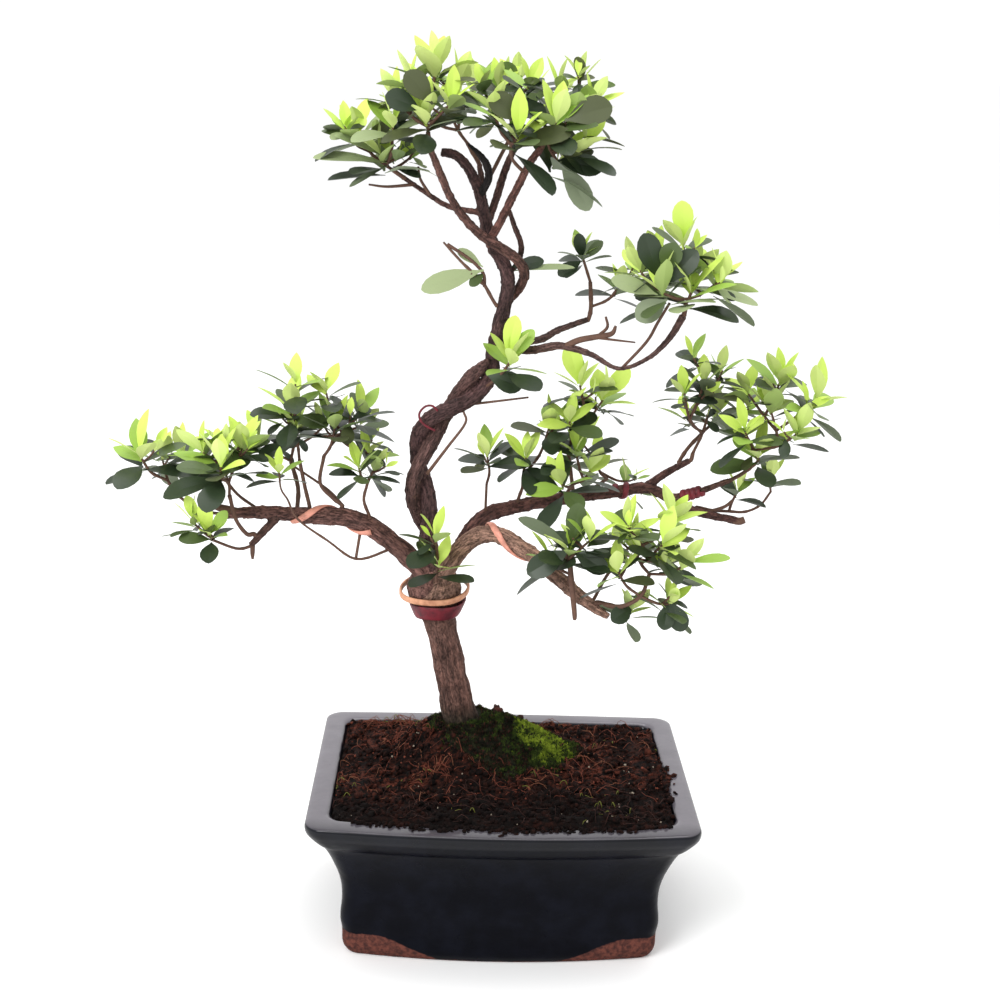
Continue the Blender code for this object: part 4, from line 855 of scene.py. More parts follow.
# ---------------------------------------------------------------- ties and wires
# What the grower left on: a slack rubber ring and a dark red tape at the fork, soft salmon wire
# that set the two front boughs, red tape on the back bough and its branch, and a thin red hook.
def tie_surface(name, colour, faded, roughness, weave):
    """Rubber, tape or coated wire, faded in patches."""
    made, shader, start = new_surface(name, Specular_IOR_Level=0.4)
    where = start.node("TexCoord", output="Object")
    feed(shader, "Base Color", tint(rising(mottle(where, 4.0, 4.0), 0.35, 0.72), colour, faded))
    feed(shader, "Roughness", roughness + (mottle(where, 1.5) - 0.5) * 0.3)
    relief(shader, mottle(where, weave, 2.0), 0.2)
    return made


peach_rubber = tie_surface("peach_rubber", (0.66, 0.33, 0.19), (0.42, 0.18, 0.10), 0.55, 1.6)
red_tape = tie_surface("red_tape", (0.165, 0.012, 0.022), (0.062, 0.008, 0.014), 0.55, 0.5)
salmon_wire = tie_surface("salmon_wire", (0.70, 0.30, 0.22), (0.46, 0.19, 0.14), 0.45, 1.2)

RING_REACH = (17.3, 14.4)
RING_MIDDLE = (-38.2, 14.2, 176.5)
RING_WIDTH = 3.6
RING_THICKNESS = 1.5
RING_TILT = 3.0             # the back of the ring lies this much higher than its middle
BAND_REACH = 12.6
BAND_MIDDLE = (-36.4, 14.6, 166.5)
BAND_WIDTH = 9.0
BAND_THICKNESS = 1.3
BAND_FLARE = 0.42           # the band leans outward by this much of its width, as the fork swells
AROUND = 96
SECTION_SIDES = 14
COIL_SIDES = 12
COIL_STEPS = 36             # steps in each turn of a coil


def band(name, path, width, thickness, surface):
    """A closed flat band with rounded edges, through a ring of (point, outward, along) rows."""
    turns = (2 * math.pi * k / SECTION_SIDES for k in range(SECTION_SIDES))
    section = [(math.copysign(abs(math.cos(t)) ** 0.5, math.cos(t)),
                math.copysign(abs(math.sin(t)) ** 0.7, math.sin(t))) for t in turns]
    verts = [point + along * (a * width / 2) + outward * ((b + 1) * thickness / 2)
             for point, outward, along in path for a, b in section]
    return make_piece(name, verts, tube_faces(len(path), SECTION_SIDES, closed=True), [surface])


ring_path = []
band_path = []
for k in range(AROUND):
    turn = 2 * math.pi * k / AROUND
    outward = Vector((math.cos(turn), math.sin(turn), 0))
    sag = 0.35 * math.sin(3 * turn + 1.0)
    hang = RING_TILT * outward.y + 1.2 * outward.x + sag
    around = Vector((RING_REACH[0] * outward.x, RING_REACH[1] * outward.y, hang))
    ring_path.append((Vector(RING_MIDDLE) + around, outward, Vector((0, -0.25, 1)).normalized()))
    band_path.append((Vector(BAND_MIDDLE) + Vector((0, 0, 0.8 * outward.x + sag)) + outward * BAND_REACH,
                      outward, Vector((outward.x * BAND_FLARE, outward.y * BAND_FLARE, 1)).normalized()))
slack_ring = band("fork_ring_fine", ring_path, RING_WIDTH, RING_THICKNESS, peach_rubber)
settle(slack_ring, "peach_tie", "fork_ring")
tight_band = band("fork_band_fine", band_path, BAND_WIDTH, BAND_THICKNESS, red_tape)
settle(tight_band, "red_tape", "fork_band")


def limb_point(name, share):
    """Place, direction and radius of a limb at a share of its path."""
    path = LIMBS[name]
    at = min(max(share, 0.0), 1.0) * (len(path) - 1)
    i = min(int(at), len(path) - 2)
    t = at - i
    point = place(path[i]).lerp(place(path[i + 1]), t)
    way = (place(path[i + 1]) - place(path[i])).normalized()
    return point, way, path[i][3] * (1 - t) + path[i + 1][3] * t


def coil(name, limb_name, first, last, turns, start, thick, broad, surface, slot):
    """A flattened wire or tape wound round a limb, between two shares of the limb's length."""
    count = int(abs(turns) * COIL_STEPS)
    middles = []
    outs = []
    for k in range(count + 1):
        point, way, radius = limb_point(limb_name, first + (last - first) * k / count)
        side = way.cross(UP).normalized()
        turn = math.radians(start + 360 * turns * k / count)
        outs.append(swung(side, side.cross(way), turn))
        middles.append(point + outs[-1] * (radius + thick * 0.8))
    verts = []
    for k, (middle, out) in enumerate(zip(middles, outs)):
        way = (middles[min(k + 1, count)] - middles[max(k - 1, 0)]).normalized()
        across = way.cross(out)
        for i in range(COIL_SIDES):
            turn = 2 * math.pi * i / COIL_SIDES
            verts.append(middle + out * thick * math.cos(turn) + across * broad * math.sin(turn))
    faces = tube_faces(count + 1, COIL_SIDES)
    settle(make_piece(name + "_fine", verts, faces, [surface]), slot, name)


coil("wire_left", "bough_left", 0.42, 0.76, 1.1, 195, 0.8, 1.75, salmon_wire, "salmon_wire")
coil("wire_right_near", "bough_right_front", 0.40, 0.62, -0.75, 150, 0.85, 1.7, salmon_wire, "salmon_wire")
coil("tape_right_near", "bough_right_back", 0.64, 0.69, 1.2, 30, 0.7, 1.6, red_tape, "red_tape")
coil("tape_right_far", "branch_right_taped", 0.30, 0.62, 4.0, 0, 0.8, 1.6, red_tape, "red_tape")

LOOP = ((-39.4, 1.6, 266), (-43.0, 0.4, 268), (-46.6, 0.2, 271), (-47.4, 0.6, 275), (-44.6, 0.8, 278.5),
        (-41.0, 0.6, 279), (-38.2, 0.8, 276.5))
LOOP_RADIUS = 0.6
heap = Heap()
heap.strand(smooth_path([(*point, LOOP_RADIUS) for point in LOOP], 8), 8)
settle(heap.piece("wire_loop_fine", [red_tape]), "red_tape", "wire_loop")

# ---------------------------------------------------------------- foliage
# Thin twigs end in whorls of leaves: dark leathery old ones below, bright new ones standing up
# in the middle.  Each mass grows from one stem on its limb, given as x, y and z rows; a shoot is
# x, y, z, half its number of leaves and their length.
Mass = namedtuple("Mass", "limb share stem shoots")
FOLIAGE = {
    "left_tip_foliage": Mass("bough_left", 1.0, ((-159, -6, 223), (-170, -7, 231)), (
        (-188, -7, 251, 5, 29), (-180, 10, 245, 3, 21))),
    "left_low_foliage": Mass("branch_left_low", 1.0, ((-139, -16, 206), (-151, -18, 211)), (
        (-159, -21, 220, 5, 18), (-150, -28, 217, 4, 17))),
    "left_front_foliage": Mass("branch_left_low", 0.8, ((-134, -13, 213), (-139, -15, 221),
        (-142, -16, 234)), (
        (-146, -17, 250, 5, 28), (-136, -10, 257, 5, 23), (-156, -8, 254, 4, 23),
        (-144, -30, 252, 3, 23), (-140, 6, 254, 3, 22))),
    "left_mid_foliage": Mass("bough_left", 0.69, ((-106, 4, 234), (-109, 6, 248)), (
        (-111, 7, 263, 5, 22), (-113, 4, 275, 5, 24), (-110, -2, 289, 3, 23))),
    "left_high_foliage": Mass("bough_left", 0.56, ((-92, 3, 229), (-98, 2, 237), (-96, 2, 251)), (
        (-90, -2, 267, 5, 24), (-95, 6, 283, 4, 23), (-78, 6, 272, 5, 23))),
    "left_inner_foliage": Mass("bough_left", 0.455, ((-75, -5, 230), (-73, -9, 240)), (
        (-77, -14, 249, 5, 20), (-70, -3, 246, 4, 18))),
    "left_under_foliage": Mass("bough_left", 0.3, ((-79, -4, 198), (-93, -9, 209), (-108, -12, 221),
        (-113, -14, 232)), (
        (-117, -15, 246, 4, 16),)),
    "left_back_foliage": Mass("bough_left", 0.74, ((-111, 18, 230), (-116, 30, 241)), (
        (-113, 38, 258, 3, 22), (-95, 44, 262, 3, 22), (-134, 42, 250, 3, 21), (-80, 32, 260, 3, 22),
        (-74, 22, 248, 3, 20))),
    "left_back_outer_foliage": Mass("bough_left", 0.9, ((-142, 12, 227), (-153, 23, 236)), (
        (-150, 34, 247, 3, 21), (-172, 30, 244, 4, 21))),
    "crown_left_foliage": Mass("crown_branch_far_left", 1.0, ((-63, 7, 396),), (
        (-68, 4, 401, 5, 27), (-84, -2, 414, 4, 20), (-79, 14, 414, 4, 22), (-62, -12, 418, 4, 22),
        (-54, 8, 402, 3, 15))),
    "crown_top_left_foliage": Mass("crown_branch_left", 1.0, ((-45, -21, 416),), (
        (-46, -25, 422, 5, 24), (-60, -4, 429, 4, 22), (-42, -14, 444, 5, 26), (-53, -10, 438, 4, 21),
        (-35, -30, 429, 5, 21), (-32, -4, 438, 4, 20))),
    "crown_top_foliage": Mass("crown_branch_centre", 1.0, ((-4, 16, 416),), (
        (-12, 10, 437, 4, 19), (-20, 6, 436, 4, 19), (-3, 20, 440, 4, 19), (3, 2, 438, 4, 20))),
    "crown_right_foliage": Mass("crown_branch_right", 1.0, ((11, -19, 415),), (
        (15, -26, 422, 5, 24), (23, -14, 420, 4, 28), (29, -22, 412, 4, 21), (17, -4, 437, 4, 20),
        (28, 8, 441, 4, 19), (33, -4, 430, 4, 20), (17, -20, 404, 3, 28))),
    "crown_front_foliage": Mass("crown_branch_right", 0.78, ((-5, -24, 405), (-6, -30, 412)), (
        (-3, -35, 415, 5, 27), (-14, -30, 426, 5, 22))),
    "crown_back_left_foliage": Mass("crown_branch_back", 1.0, ((-26, 33, 408),), (
        (-36, 40, 424, 3, 24), (-49, 46, 421, 3, 24), (-24, 46, 434, 3, 24), (-57, 30, 426, 4, 24))),
    "crown_back_right_foliage": Mass("crown_branch_back", 0.75, ((-8, 33, 405), (-2, 38, 416)), (
        (5, 44, 430, 3, 23), (17, 38, 428, 3, 22), (-8, 54, 431, 3, 24))),
    "leader_left_foliage": Mass("trunk", 0.69, ((-16, 2, 341), (-19, 1, 345)), (
        (-23, -1, 347, 3, 30), (-37, 0, 362, 0, 0))),
    "leader_spray": Mass("trunk", 0.6, ((-7, -5, 297),), (
        (-2, -9, 305, 5, 22),)),
    "fork_spray": Mass("trunk", 0.31, ((-37, -3, 190),), (
        (-36, -6, 196, 4, 22), (-38, -8, 211, 3, 22))),
    "upper_right_foliage": Mass("branch_upper_front", 1.0, ((82, -22, 338),), (
        (69, -29, 344, 5, 27), (84, -24, 344, 5, 28), (60, -12, 352, 4, 22), (90, 4, 350, 5, 24),
        (98, -16, 348, 5, 24), (81, -6, 364, 5, 22), (71, 8, 354, 4, 23))),
    "upper_back_foliage": Mass("branch_upper_back", 1.0, ((40, 32, 327), (39, 31, 340)), (
        (34, 30, 354, 5, 17), (54, 35, 337, 4, 20), (62, 44, 346, 3, 22), (80, 44, 348, 3, 23))),
    "right_high_foliage": Mass("branch_right_fork", 1.0, ((98.5, 36, 249),), (
        (91, 29, 283, 4, 18), (102, 36, 287, 4, 20), (108, 47, 272, 3, 19), (96, 40, 300, 3, 17),
        (112, 49, 289, 4, 20))),
    "far_right_foliage": Mass("branch_right_taped", 1.0, ((126, 32, 240), (131, 28, 246)), (
        (131, 22, 253, 5, 26), (138, 34, 275, 5, 24), (143, 38, 289, 5, 24), (160, 26, 281, 4, 29),
        (128, 46, 280, 4, 22), (122, 14, 266, 4, 22), (150, 16, 266, 4, 22))),
    "right_end_foliage": Mass("bough_right_back", 0.9, ((112, 45, 215), (122, 47, 214), (131, 47, 214),
        (139, 47, 218), (144, 46, 226)), (
        (144, 45, 234, 3, 18), (125, 42, 227, 3, 18))),
    "mid_tall_foliage": Mass("bough_right_back", 0.52, ((31, 26, 250),), (
        (35, 18, 288, 4, 20), (48, 26, 279, 5, 24), (30, 12, 270, 5, 20))),
    "mid_left_foliage": Mass("bough_right_back", 0.22, ((-12, 14, 235),), (
        (-12, 12, 250, 5, 21),)),
    "mid_second_foliage": Mass("bough_right_back", 0.36, ((7, 19, 232),), (
        (8, 12, 250, 5, 20), (20, 20, 265, 5, 22))),
    "mid_right_foliage": Mass("bough_right_back", 0.5, ((34, 22, 234),), (
        (27, 5, 238, 5, 24), (42, 16, 243, 3, 20), (34, 14, 254, 4, 20))),
    "mid_back_foliage": Mass("bough_right_back", 0.58, ((54, 46, 231),), (
        (50, 60, 237, 3, 21), (66, 60, 226, 3, 19), (40, 50, 250, 3, 22))),
    "far_back_foliage": Mass("branch_right_fork", 0.85, ((97, 44, 250), (106, 53, 257)), (
        (114, 64, 263, 3, 22), (132, 64, 268, 3, 22), (98, 62, 262, 3, 20))),
    "low_spray_foliage": Mass("bough_right_front", 0.8, ((30, -37, 203),), (
        (29, -43, 217, 5, 24), (20, -34, 210, 3, 21), (38, -48, 224, 4, 22))),
    "low_back_foliage": Mass("bough_right_front", 0.9, ((50, -18, 196), (58, -2, 200)), (
        (66, 14, 204, 4, 22), (84, 8, 196, 4, 22))),
    "low_right_foliage": Mass("bough_right_front", 0.93, ((55, -44, 189), (65, -45, 195),
        (69, -43, 206)), (
        (57, -48, 231, 5, 22), (74, -46, 222, 5, 24), (80, -30, 230, 5, 24), (53, -47, 208, 4, 20),
        (86, -38, 209, 4, 23), (62, -34, 216, 4, 24), (80, -42, 190, 5, 20), (61, -38, 184, 4, 18))),
}
# dead snags, pruned stubs and thin shoots without leaves, as x, y, z, radius
BARE_TWIGS = (
    ((29, -40, 214, 1.3), (31, -41, 198, 1.5), (33, -40, 183, 1.3), (33, -40, 180, 0.9)),
    ((24, -11, 313, 1.7), (31, -13, 317, 1.6), (39, -14, 319, 1.5), (47, -15, 321, 1.3), (49, -15, 325, 0.7)),
    ((37, -14, 319, 0.8), (48, -15, 318, 0.6), (59, -15, 317, 0.4)),
    ((41, -14, 320, 0.9), (45, -13, 324, 0.8), (44, -12, 329, 0.6)),
    ((52, -19, 304, 0.8), (64, -19, 318, 0.8), (69, -20, 328, 0.8), (74, -22, 338, 0.7)),
    ((-86, 4, 224, 0.8), (-95, 8, 232, 0.7), (-114, 8, 245, 0.6)),
    ((-77, 4, 212, 0.9), (-78, 1, 205, 0.8), (-79, -3, 198, 0.8)),
    ((-131, -13, 207, 1.3), (-131, -14, 203, 1.2), (-131, -14, 200, 0.7)),
    ((104, 43, 213, 1.1), (118, 44, 217, 1.0), (123, 42, 222, 0.8)),
    ((-43, 2, 243, 1.0), (-33, -2, 258, 0.8), (-24, -2, 271, 0.7), (-25, -2, 277, 0.6)),
    ((-30, 6, 278, 0.9), (-16, 6, 280, 0.7), (8, 4, 284, 0.5)),
    ((-44, 7, 384, 0.9), (-49, 5, 392, 0.7), (-50, 2, 398, 0.6)),
    ((-52, 8, 389, 0.9), (-65, 3, 388, 0.7), (-74, 0, 389, 0.5)),
    ((121, 42, 211, 2.1), (127, 42, 210, 2.2), (130, 42, 211, 2.0)),
    ((-140, -5, 222, 2.4), (-147, -6, 224, 2.2), (-151, -6, 225, 1.6)),
    ((-16, 3, 340, 0.9), (-17, 2, 347, 0.9), (-24, 1, 354, 0.8), (-35, 0, 361, 0.9)),
)
TWIG_TIP_RADIUS = 0.68
SHOOT_SHARE = 0.34          # length of the leafy shoot as a share of a leaf's
SPARE_SHARE = 0.4           # the share of a leaf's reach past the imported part's box that it keeps
FIRST_LEAF_SWING = 0.6      # radians to either side
LEAF_BREADTH = 0.49
# half width of a leaf at shares of its length: old leaves are blunt, and new ones are pointed
OLD_OUTLINE = ((0.0, 0.09), (0.09, 0.15), (0.25, 0.50), (0.43, 0.84), (0.60, 1.0), (0.76, 0.96),
               (0.89, 0.72), (0.97, 0.36))
NEW_OUTLINE = ((0.0, 0.10), (0.09, 0.22), (0.24, 0.62), (0.40, 0.92), (0.55, 1.0), (0.70, 0.87),
               (0.85, 0.55), (0.95, 0.22))
OLD, GROWN, FRESH, NEW, WORN, SILVER = range(0, 12, 2)     # places in LEAF_SKINS; + 1 is the underside
YOUTH_LIMITS = ((0.32, OLD), (0.50, GROWN), (0.66, FRESH))  # a leaf with more youth than these is NEW
# leaves that stand alone, as foot, tip, breadth as a share of length, and which skin
LONE_LEAVES = (
    ((-16.6, 0, 348.7), (-47.8, -6, 340.4), 0.33, SILVER), ((-16.5, 2, 347), (-23, -5, 342), 0.5, GROWN),
    ((-17, 1, 350), (-30, 4, 359), 0.36, SILVER), ((-3.5, 6, 349.5), (13, 3, 354.5), 0.4, OLD),
    ((-3.4, 6, 347.5), (28, 1, 355), 0.17, SILVER),
    ((-65.2, 2, 399.5), (-99.5, -10, 406.5), 0.26, SILVER),
    ((-66.5, 0, 402), (-88, -12, 416), 0.3, SILVER), ((-65, 1, 398), (-84, -6, 390.5), 0.22, OLD + 1),
    ((16.4, -20, 404.5), (38, -26, 402.5), 0.5, OLD),
    ((18, -21, 404), (33.5, -27, 382.5), 0.42, SILVER + 1),
    ((19, -28, 423.3), (40.5, -31, 432), 0.62, WORN),
    ((-0.2, -33, 422.8), (-15.7, -38, 434.3), 0.62, WORN),
    ((-42.8, -34, 429.2), (-54.5, -38, 443.9), 0.62, WORN),
    ((-48.2, -32, 426.3), (-63.9, -37, 433.6), 0.62, OLD),
    ((86, -26, 346), (117, -30, 343), 0.26, SILVER), ((67, -30, 343), (45, -38, 352), 0.34, SILVER),
    ((66.6, -28, 350.6), (59.3, -35, 372), 0.52, OLD), ((70, -29, 353), (73, -34, 368), 0.7, GROWN),
    ((71.4, -27, 348.2), (83.5, -34, 365), 0.52, OLD), ((34, 29, 351), (22, 22, 345), 0.5, OLD),
    ((34, 28, 352), (31.5, 22, 365), 0.46, OLD), ((35, 28, 352), (43, 22, 362), 0.38, GROWN),
    ((72, -29, 341), (57, -38, 333), 0.62, SILVER + 1), ((-14, -5, 297), (4, -10, 292.5), 0.6, OLD),
    ((-151, -27, 216), (-153, -31, 234), 0.42, NEW), ((-150, -28, 217), (-142, -33, 230), 0.4, FRESH),
    ((-157, -21, 220), (-162, -25, 235), 0.38, NEW), ((81, -7, 366), (79, -11, 386), 0.52, NEW),
    ((-4, -9, 307), (-0.7, -13, 327.9), 0.42, NEW), ((-3, -9, 306), (8, -14, 321.5), 0.38, FRESH),
    ((34, 17, 289), (28.5, 13, 309.5), 0.5, NEW), ((48, 24, 280), (59, 15, 297.5), 0.42, NEW),
    ((29, -44, 218), (8, -51, 207.5), 0.5, OLD), ((30, -44, 218), (47, -53, 210.5), 0.5, OLD),
    ((29, -43, 219), (5, -47, 237), 0.3, OLD + 1), ((30, -43, 219), (32, -48, 242), 0.44, GROWN),
    ((80, -42, 192), (87, -50, 179), 0.6, OLD), ((79, -42, 191), (77, -51, 180), 0.62, OLD),
    ((62, -40, 188), (51.5, -51, 184.5), 0.6, OLD), ((87, -39, 211), (108, -44, 218), 0.3, FRESH),
)
# masses whose shoots are mostly this spring's growth, and those whose shoots are mostly old
YOUNG_MASSES = ("leader_spray", "mid_tall_foliage", "far_right_foliage", "low_right_foliage",
                "crown_top_left_foliage", "mid_right_foliage", "fork_spray")
OLD_MASSES = ("low_spray_foliage", "mid_left_foliage", "upper_back_foliage", "right_high_foliage",
              "right_end_foliage", "left_high_foliage", "left_mid_foliage", "left_back_foliage",
              "mid_back_foliage", "far_back_foliage")
# where weather has dulled or silvered the darker leaves, and the share of them there and elsewhere
WORN_SKINS = {"crown_front_foliage": (WORN, 0.5), "crown_right_foliage": (WORN, 0.5),
              "right_end_foliage": (WORN, 0.4), "crown_top_left_foliage": (WORN, 0.4),
              "crown_left_foliage": (SILVER, 0.55), "upper_right_foliage": (SILVER, 0.35)}
WORN_ELSEWHERE = (WORN, 0.06)
ALONE_MASSES = ("leader_left_foliage",)    # these carry none but the leaves that stand alone
LONE_DROOP = 0.3
LONE_FOLD = 0.16
RIB_ANGLE = 15.0            # a leaf's halves meet at more than this, in degrees, so its rib shows
MOST_FACES = 92500          # two-triangle faces in a joined piece, before it is given another spray
TWIG_SIDES = 6
TWIG_DARK = (0.060, 0.030, 0.024)
TWIG_BROWN = (0.165, 0.085, 0.055)
RIB_HALF = 0.07             # half a leaf's thickness at its rib
LEAF_ANGLE = math.radians(137.5)    # from each leaf of a whorl to the next
YOUNG_MOOD = 0.13           # how much fresher or older whole sprays are
OLD_MOOD = -0.12
SIDE_SHOOT_RADII = (0.62, 0.58, 0.5)


def stem_start(mass):
    """Where a stem leaves its limb, just under the bark, and the way it sets out."""
    point, way, radius = limb_point(mass.limb, mass.share)
    if mass.share >= 1.0:
        return point - way * 1.0, way
    toward = Vector(mass.stem[0]) - point
    toward = (toward - way * toward.dot(way)).normalized()
    return point + toward * (radius - 0.8), toward


def by_reach(mass):
    """A mass's shoots, the one nearest to its stem's end first."""
    return sorted(mass.shoots, key=lambda shoot: (place(shoot) - Vector(mass.stem[-1])).length)


def grow_twigs(name):
    """The twigs of one mass: its stem, then a branch to each shoot from the nearest place below."""
    mass = FOLIAGE[name]
    rng = random.Random(name)
    start, way = stem_start(mass)
    stem_radius = TWIG_TIP_RADIUS + 0.15 * min(4, len(mass.shoots))
    stem = [start, start + way * 2.0] + [Vector(p) for p in mass.stem]
    rows = [(*p, stem_radius - 0.06 * i) for i, p in enumerate(stem)]
    paths = [rows]
    joints = [(place(row), row[3]) for row in rows[2:]]
    for shoot in by_reach(mass):
        tip = Vector(shoot[:3])
        joint, radius = min(joints, key=lambda j: (j[0] - tip).length + (12 if j[0].z > tip.z - 3 else 0))
        reach = tip - joint
        swing = Vector((rng.uniform(-1, 1), rng.uniform(-1, 1), -0.8)) * reach.length * 0.10
        middle = joint + reach * 0.5 + swing
        twig_radius = min(radius, TWIG_TIP_RADIUS + 0.12)
        paths.append([(*joint, twig_radius), (*middle, twig_radius), (*tip, TWIG_TIP_RADIUS * 0.8)])
        joints.append((middle, twig_radius))
    return paths


def grow_leaf(heap, outline, base, way, normal, length, width, droop, fold, kind):
    """A thin leaf with a top and an underside, bent down along its length and folded at its rib."""
    side = way.cross(normal).normalized()
    verts = []
    for along, half in outline:
        bend = droop * along
        middle = base + way * (length * along * (1 - bend * bend / 6)) - normal * (length * along * bend / 2)
        reach = side * (width / 2 * half)
        lift = normal * (width / 2 * half * fold)
        skin = normal * RIB_HALF
        verts += [middle - reach + lift, middle + skin, middle + reach + lift, middle - skin]
    verts.append(base + way * (length * (1 - droop * droop / 6)) - normal * (length * droop / 2))
    tip = len(verts) - 1
    faces = []
    for i in range(len(outline)):
        a = 4 * i
        if i == len(outline) - 1:
            faces += [(a, a + 1, tip), (a + 1, a + 2, tip), (a + 3, a, tip), (a + 2, a + 3, tip)]
        else:
            faces += [(a, a + 1, a + 5, a + 4), (a + 1, a + 2, a + 6, a + 5),
                      (a + 3, a, a + 4, a + 7), (a + 2, a + 3, a + 7, a + 6)]
    under = min(kind + 1, len(LEAF_SKINS) - 1)
    heap.add(verts, faces)
    heap.kinds[-len(faces):] = [kind, kind, under, under] * len(outline)


def past_box(point):
    """How far, in millimetres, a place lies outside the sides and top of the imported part's box."""
    at = in_frame(point)
    (left, front, _), (right, back, top) = cad_box
    return 1000 * max(0.0, left - at.x, at.x - right, front - at.y, at.y - back, at.z - top)


def whorl(heap, rng, tip, way, count, length, mood, worn):
    """Leaves round a shoot's end: the old ones low and spread, the young ones upright."""
    shoot_length = SHOOT_SHARE * length
    axis = (way * 0.6 + UP).normalized()
    side = (way - axis * way.dot(axis)).normalized()
    turn = rng.uniform(-FIRST_LEAF_SWING, FIRST_LEAF_SWING)
    for i in range(count):
        age = i / max(1, count - 1)
        size = length * (1.04 - 0.28 * age) * rng.uniform(0.84, 1.06)
        angle = turn + LEAF_ANGLE * i + rng.uniform(-0.3, 0.3)
        rise = math.radians(5 + 66 * age ** 1.3 + rng.uniform(-16, 14))
        outward = swung(side, axis.cross(side), angle)
        leaf_way = swung(outward, axis, rise)
        normal = swung(axis, -outward, rise)
        normal = (normal + leaf_way.cross(normal) * rng.uniform(-0.45, 0.45)).normalized()
        base = tip - axis * (0.85 - age) * shoot_length
        size -= past_box(base + leaf_way * size) * (1 - SPARE_SHARE)
        if wood_skin.ray_cast(in_frame(base + leaf_way * 3), leaf_way, size * 0.001)[0]:
            continue
        youth = age + mood + rng.uniform(-0.10, 0.10)
        kind = next((kind for limit, kind in YOUTH_LIMITS if youth < limit), NEW)
        if kind in (OLD, GROWN) and rng.random() < worn[1]:
            kind = worn[0]
        young = ease((age - 0.4) / 0.4)
        width = size * LEAF_BREADTH * (1 - 0.12 * young) * rng.uniform(0.90, 1.08)
        droop = rng.uniform(0.10, 0.55) * (1 - 0.6 * young)
        fold = 0.13 + 0.05 * young + rng.uniform(-0.06, 0.08)
        grow_leaf(heap, NEW_OUTLINE if kind in (FRESH, NEW) else OLD_OUTLINE, base, leaf_way, normal,
                  size, width, droop, fold, kind)


def leaf_surface(name, colour, roughness, shine):
    """Leaf skin of one plain colour."""
    return new_surface(name, Base_Color=(*colour, 1.0), Roughness=roughness, Specular_IOR_Level=shine)[0]


# each leaf's top and underside, as colour, roughness and shine
LEAF_LOOKS = (
    ("old_leaf", ((0.021, 0.036, 0.016), 0.42, 0.45), ((0.120, 0.150, 0.088), 0.6, 0.3)),
    ("grown_leaf", ((0.062, 0.096, 0.027), 0.44, 0.45), ((0.17, 0.24, 0.09), 0.6, 0.3)),
    ("fresh_leaf", ((0.27, 0.42, 0.065), 0.48, 0.4), ((0.38, 0.50, 0.16), 0.6, 0.3)),
    ("new_leaf", ((0.55, 0.72, 0.125), 0.52, 0.35), ((0.64, 0.77, 0.25), 0.6, 0.3)),
    ("worn_leaf", ((0.060, 0.072, 0.028), 0.5, 0.35), ((0.108, 0.122, 0.056), 0.65, 0.25)),
    ("silver_leaf", ((0.28, 0.34, 0.17), 0.6, 0.3), ((0.20, 0.24, 0.15), 0.65, 0.3)),
)
LEAF_SKINS = [leaf_surface(name + side, *look) for name, top, under in LEAF_LOOKS
              for side, look in (("", top), ("_under", under))]
twig_bark, twig_shader, blank = new_surface("twig_bark", Specular_IOR_Level=0.35)
twig_where = blank.node("TexCoord", output="Object")
feed(twig_shader, "Base Color", tint(mottle(twig_where, 2.5, 4.0), TWIG_DARK, TWIG_BROWN))
feed(twig_shader, "Roughness", 0.62 + mottle(twig_where, 2.0) * 0.3)
relief(twig_shader, mottle(twig_where, 0.8, 3.0), 0.2)

wood_skin = BVHTree.FromPolygons([vert.co for vert in wood.data.vertices],
                                 [tuple(face.vertices) for face in wood.data.polygons])
twigs = Heap()
leaf_heaps = [Heap()]
for name, mass in FOLIAGE.items():
    paths = grow_twigs(name)
    rng = random.Random(name + " leaves")
    for path in paths:
        knots = [(x, y, z, radius * (1 + 0.22 * (i % 4 == 0) * rng.random()))
                 for i, (x, y, z, radius) in enumerate(smooth_path(path, 5))]
        twigs.strand(knots, TWIG_SIDES)
    for path, (x, y, z, count, length) in zip(paths[1:], by_reach(mass)):
        if not count or name in ALONE_MASSES:
            continue
        tip = Vector((x, y, z))
        way = (tip - place(path[-2])).normalized()
        mood = rng.uniform(-0.14, 0.12)
        mood += YOUNG_MOOD if name in YOUNG_MASSES else OLD_MOOD if name in OLD_MASSES else 0
        if len(leaf_heaps[-1].faces) > MOST_FACES:
            leaf_heaps.append(Heap())
        leaves = leaf_heaps[-1]
        worn = WORN_SKINS.get(name, WORN_ELSEWHERE)
        whorl(leaves, rng, tip, way, 2 * count, length * 1.04, mood, worn)
        middle = place(path[1])
        for _ in range(rng.choice((0, 1, 1))):
            start = middle.lerp(tip, rng.uniform(0.15, 0.75))
            turn = rng.uniform(0, 2 * math.pi)
            out = (Vector((math.cos(turn), math.sin(turn), 0)) + UP * rng.uniform(0.3, 1.2)).normalized()
            end = start + out * rng.uniform(6, 11)
            bend = start.lerp(end, 0.5) - UP * 0.6
            shoot = [(*point, radius) for point, radius in zip((start, bend, end), SIDE_SHOOT_RADII)]
            twigs.strand(shoot, 5)
            whorl(leaves, rng, end, out, rng.choice((3, 4, 5)), length * rng.uniform(0.45, 0.65),
                  mood, worn)
for foot, tip, breadth, kind in LONE_LEAVES:
    foot = Vector(foot)
    reach = Vector(tip) - foot
    way = reach.normalized()
    faced = Vector((0, -1, 0.5)) if breadth > 0.3 else Vector((0, -0.5, 1))
    normal = (faced - way * faced.dot(way)).normalized()
    grow_leaf(leaf_heaps[-1], OLD_OUTLINE, foot, way, normal, reach.length, reach.length * breadth,
              LONE_DROOP, LONE_FOLD, kind)
for guide in BARE_TWIGS:
    twigs.strand(smooth_path(guide, 5), 7)
settle(twigs.piece("twigs", [twig_bark]), "bark", *FOLIAGE)
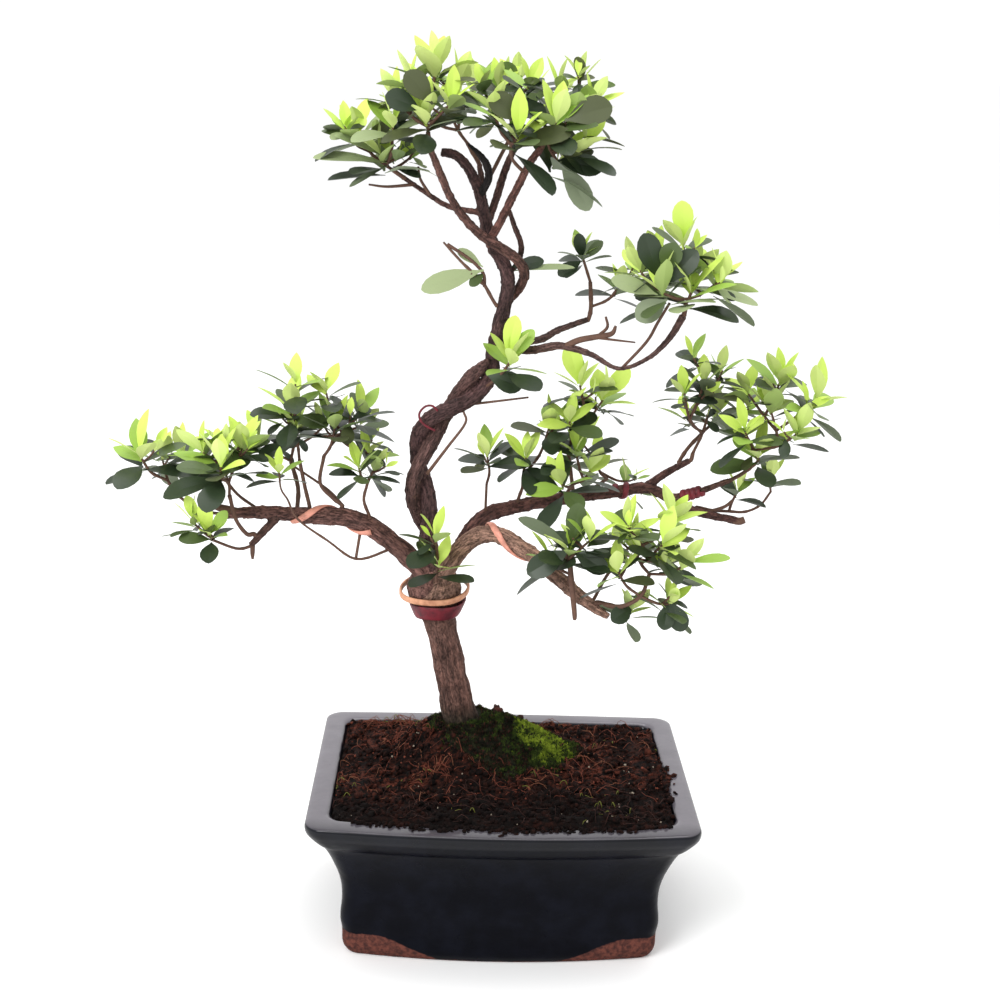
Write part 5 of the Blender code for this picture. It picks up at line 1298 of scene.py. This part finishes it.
for i, leaves in enumerate(leaf_heaps):
    piece = leaves.piece(f"leaves_{i + 1}", LEAF_SKINS)
    piece.data.set_sharp_from_angle(angle=math.radians(RIB_ANGLE))
    settle(piece, "leaves", *FOLIAGE)

# ---------------------------------------------------------------- studio
# A pale seamless floor, soft light from all round with the stronger side at the front left, and
# the camera as high as the top of the tree, looking slightly down.
FLOOR_REACH = 40.0          # metres, to each side
FLOOR_DROP = 0.0006         # metres below the pot's feet, which keeps the two apart
WORLD_LIGHT = 1.07
CAMERA_PLACE = (-26.65, -810.06, 454.51)
CAMERA_TURN = -0.0266
CAMERA_DIP = 0.2698
CAMERA_ROLL = -0.0305
FOCAL_PIXELS = 1628.0
PICTURE_PIXELS = 1000
SENSOR = 36.0

floor_mesh = bpy.data.meshes.new("floor")
floor_corners = [(x * FLOOR_REACH, y * FLOOR_REACH, -FLOOR_DROP)
                 for x, y in ((-1, -1), (1, -1), (1, 1), (-1, 1))]
floor_mesh.from_pydata(floor_corners, [], [(0, 1, 2, 3)])
floor = bpy.data.objects.new("floor", floor_mesh)
bpy.context.collection.objects.link(floor)
floor_white, floor_shader, blank = new_surface("floor_white", Base_Color=(0.95, 0.95, 0.95, 1.0),
                                               Specular_IOR_Level=0.1)
feed(floor_shader, "Roughness", 0.85 + (mottle(blank.node("TexCoord", output="Object"), 60.0) - 0.5) * 0.1)
floor_mesh.materials.append(floor_white)


def softbox(name, place_at, aim_at, size, power):
    """A round soft lamp: its places and size are in metres, its power in watts."""
    lamp = bpy.data.lights.new(name, "AREA")
    lamp.shape = "DISK"
    lamp.size = size
    lamp.energy = power
    made = bpy.data.objects.new(name, lamp)
    bpy.context.collection.objects.link(made)
    made.location = place_at
    made.rotation_euler = (Vector(aim_at) - Vector(place_at)).to_track_quat("-Z", "Y").to_euler()


softbox("key_light", (-0.9, -1.1, 1.3), (0, 0, 0.25), 0.9, 20)
softbox("top_light", (0.2, 0.3, 1.7), (0, 0, 0.2), 1.2, 10)

world = bpy.data.worlds.new("studio")
world.use_nodes = True
world.node_tree.nodes["Background"].inputs["Color"].default_value = (1.0, 1.0, 1.0, 1.0)
world.node_tree.nodes["Background"].inputs["Strength"].default_value = WORLD_LIGHT
bpy.context.scene.world = world
bpy.context.scene.view_settings.view_transform = "Standard"

lens = bpy.data.cameras.new("camera")
lens.sensor_width = SENSOR
lens.sensor_height = SENSOR
lens.lens = FOCAL_PIXELS * SENSOR / PICTURE_PIXELS
lens.clip_start = 0.01
camera = bpy.data.objects.new("camera", lens)
bpy.context.collection.objects.link(camera)
rightward, onward = Vector((1, 0, 0)), Vector((0, 1, 0))
level_right = swung(rightward, onward, CAMERA_TURN)
level_ahead = swung(onward, -rightward, CAMERA_TURN)
ahead = swung(level_ahead, -UP, CAMERA_DIP)
above = swung(UP, level_ahead, CAMERA_DIP)
picture_right = swung(level_right, -above, CAMERA_ROLL)
picture_up = swung(above, level_right, CAMERA_ROLL)
camera.matrix_world = (Matrix.Translation(in_frame(CAMERA_PLACE))
                       @ Matrix((picture_right, picture_up, -ahead)).transposed().to_4x4())
bpy.context.scene.camera = camera

bpy.context.view_layer.update()
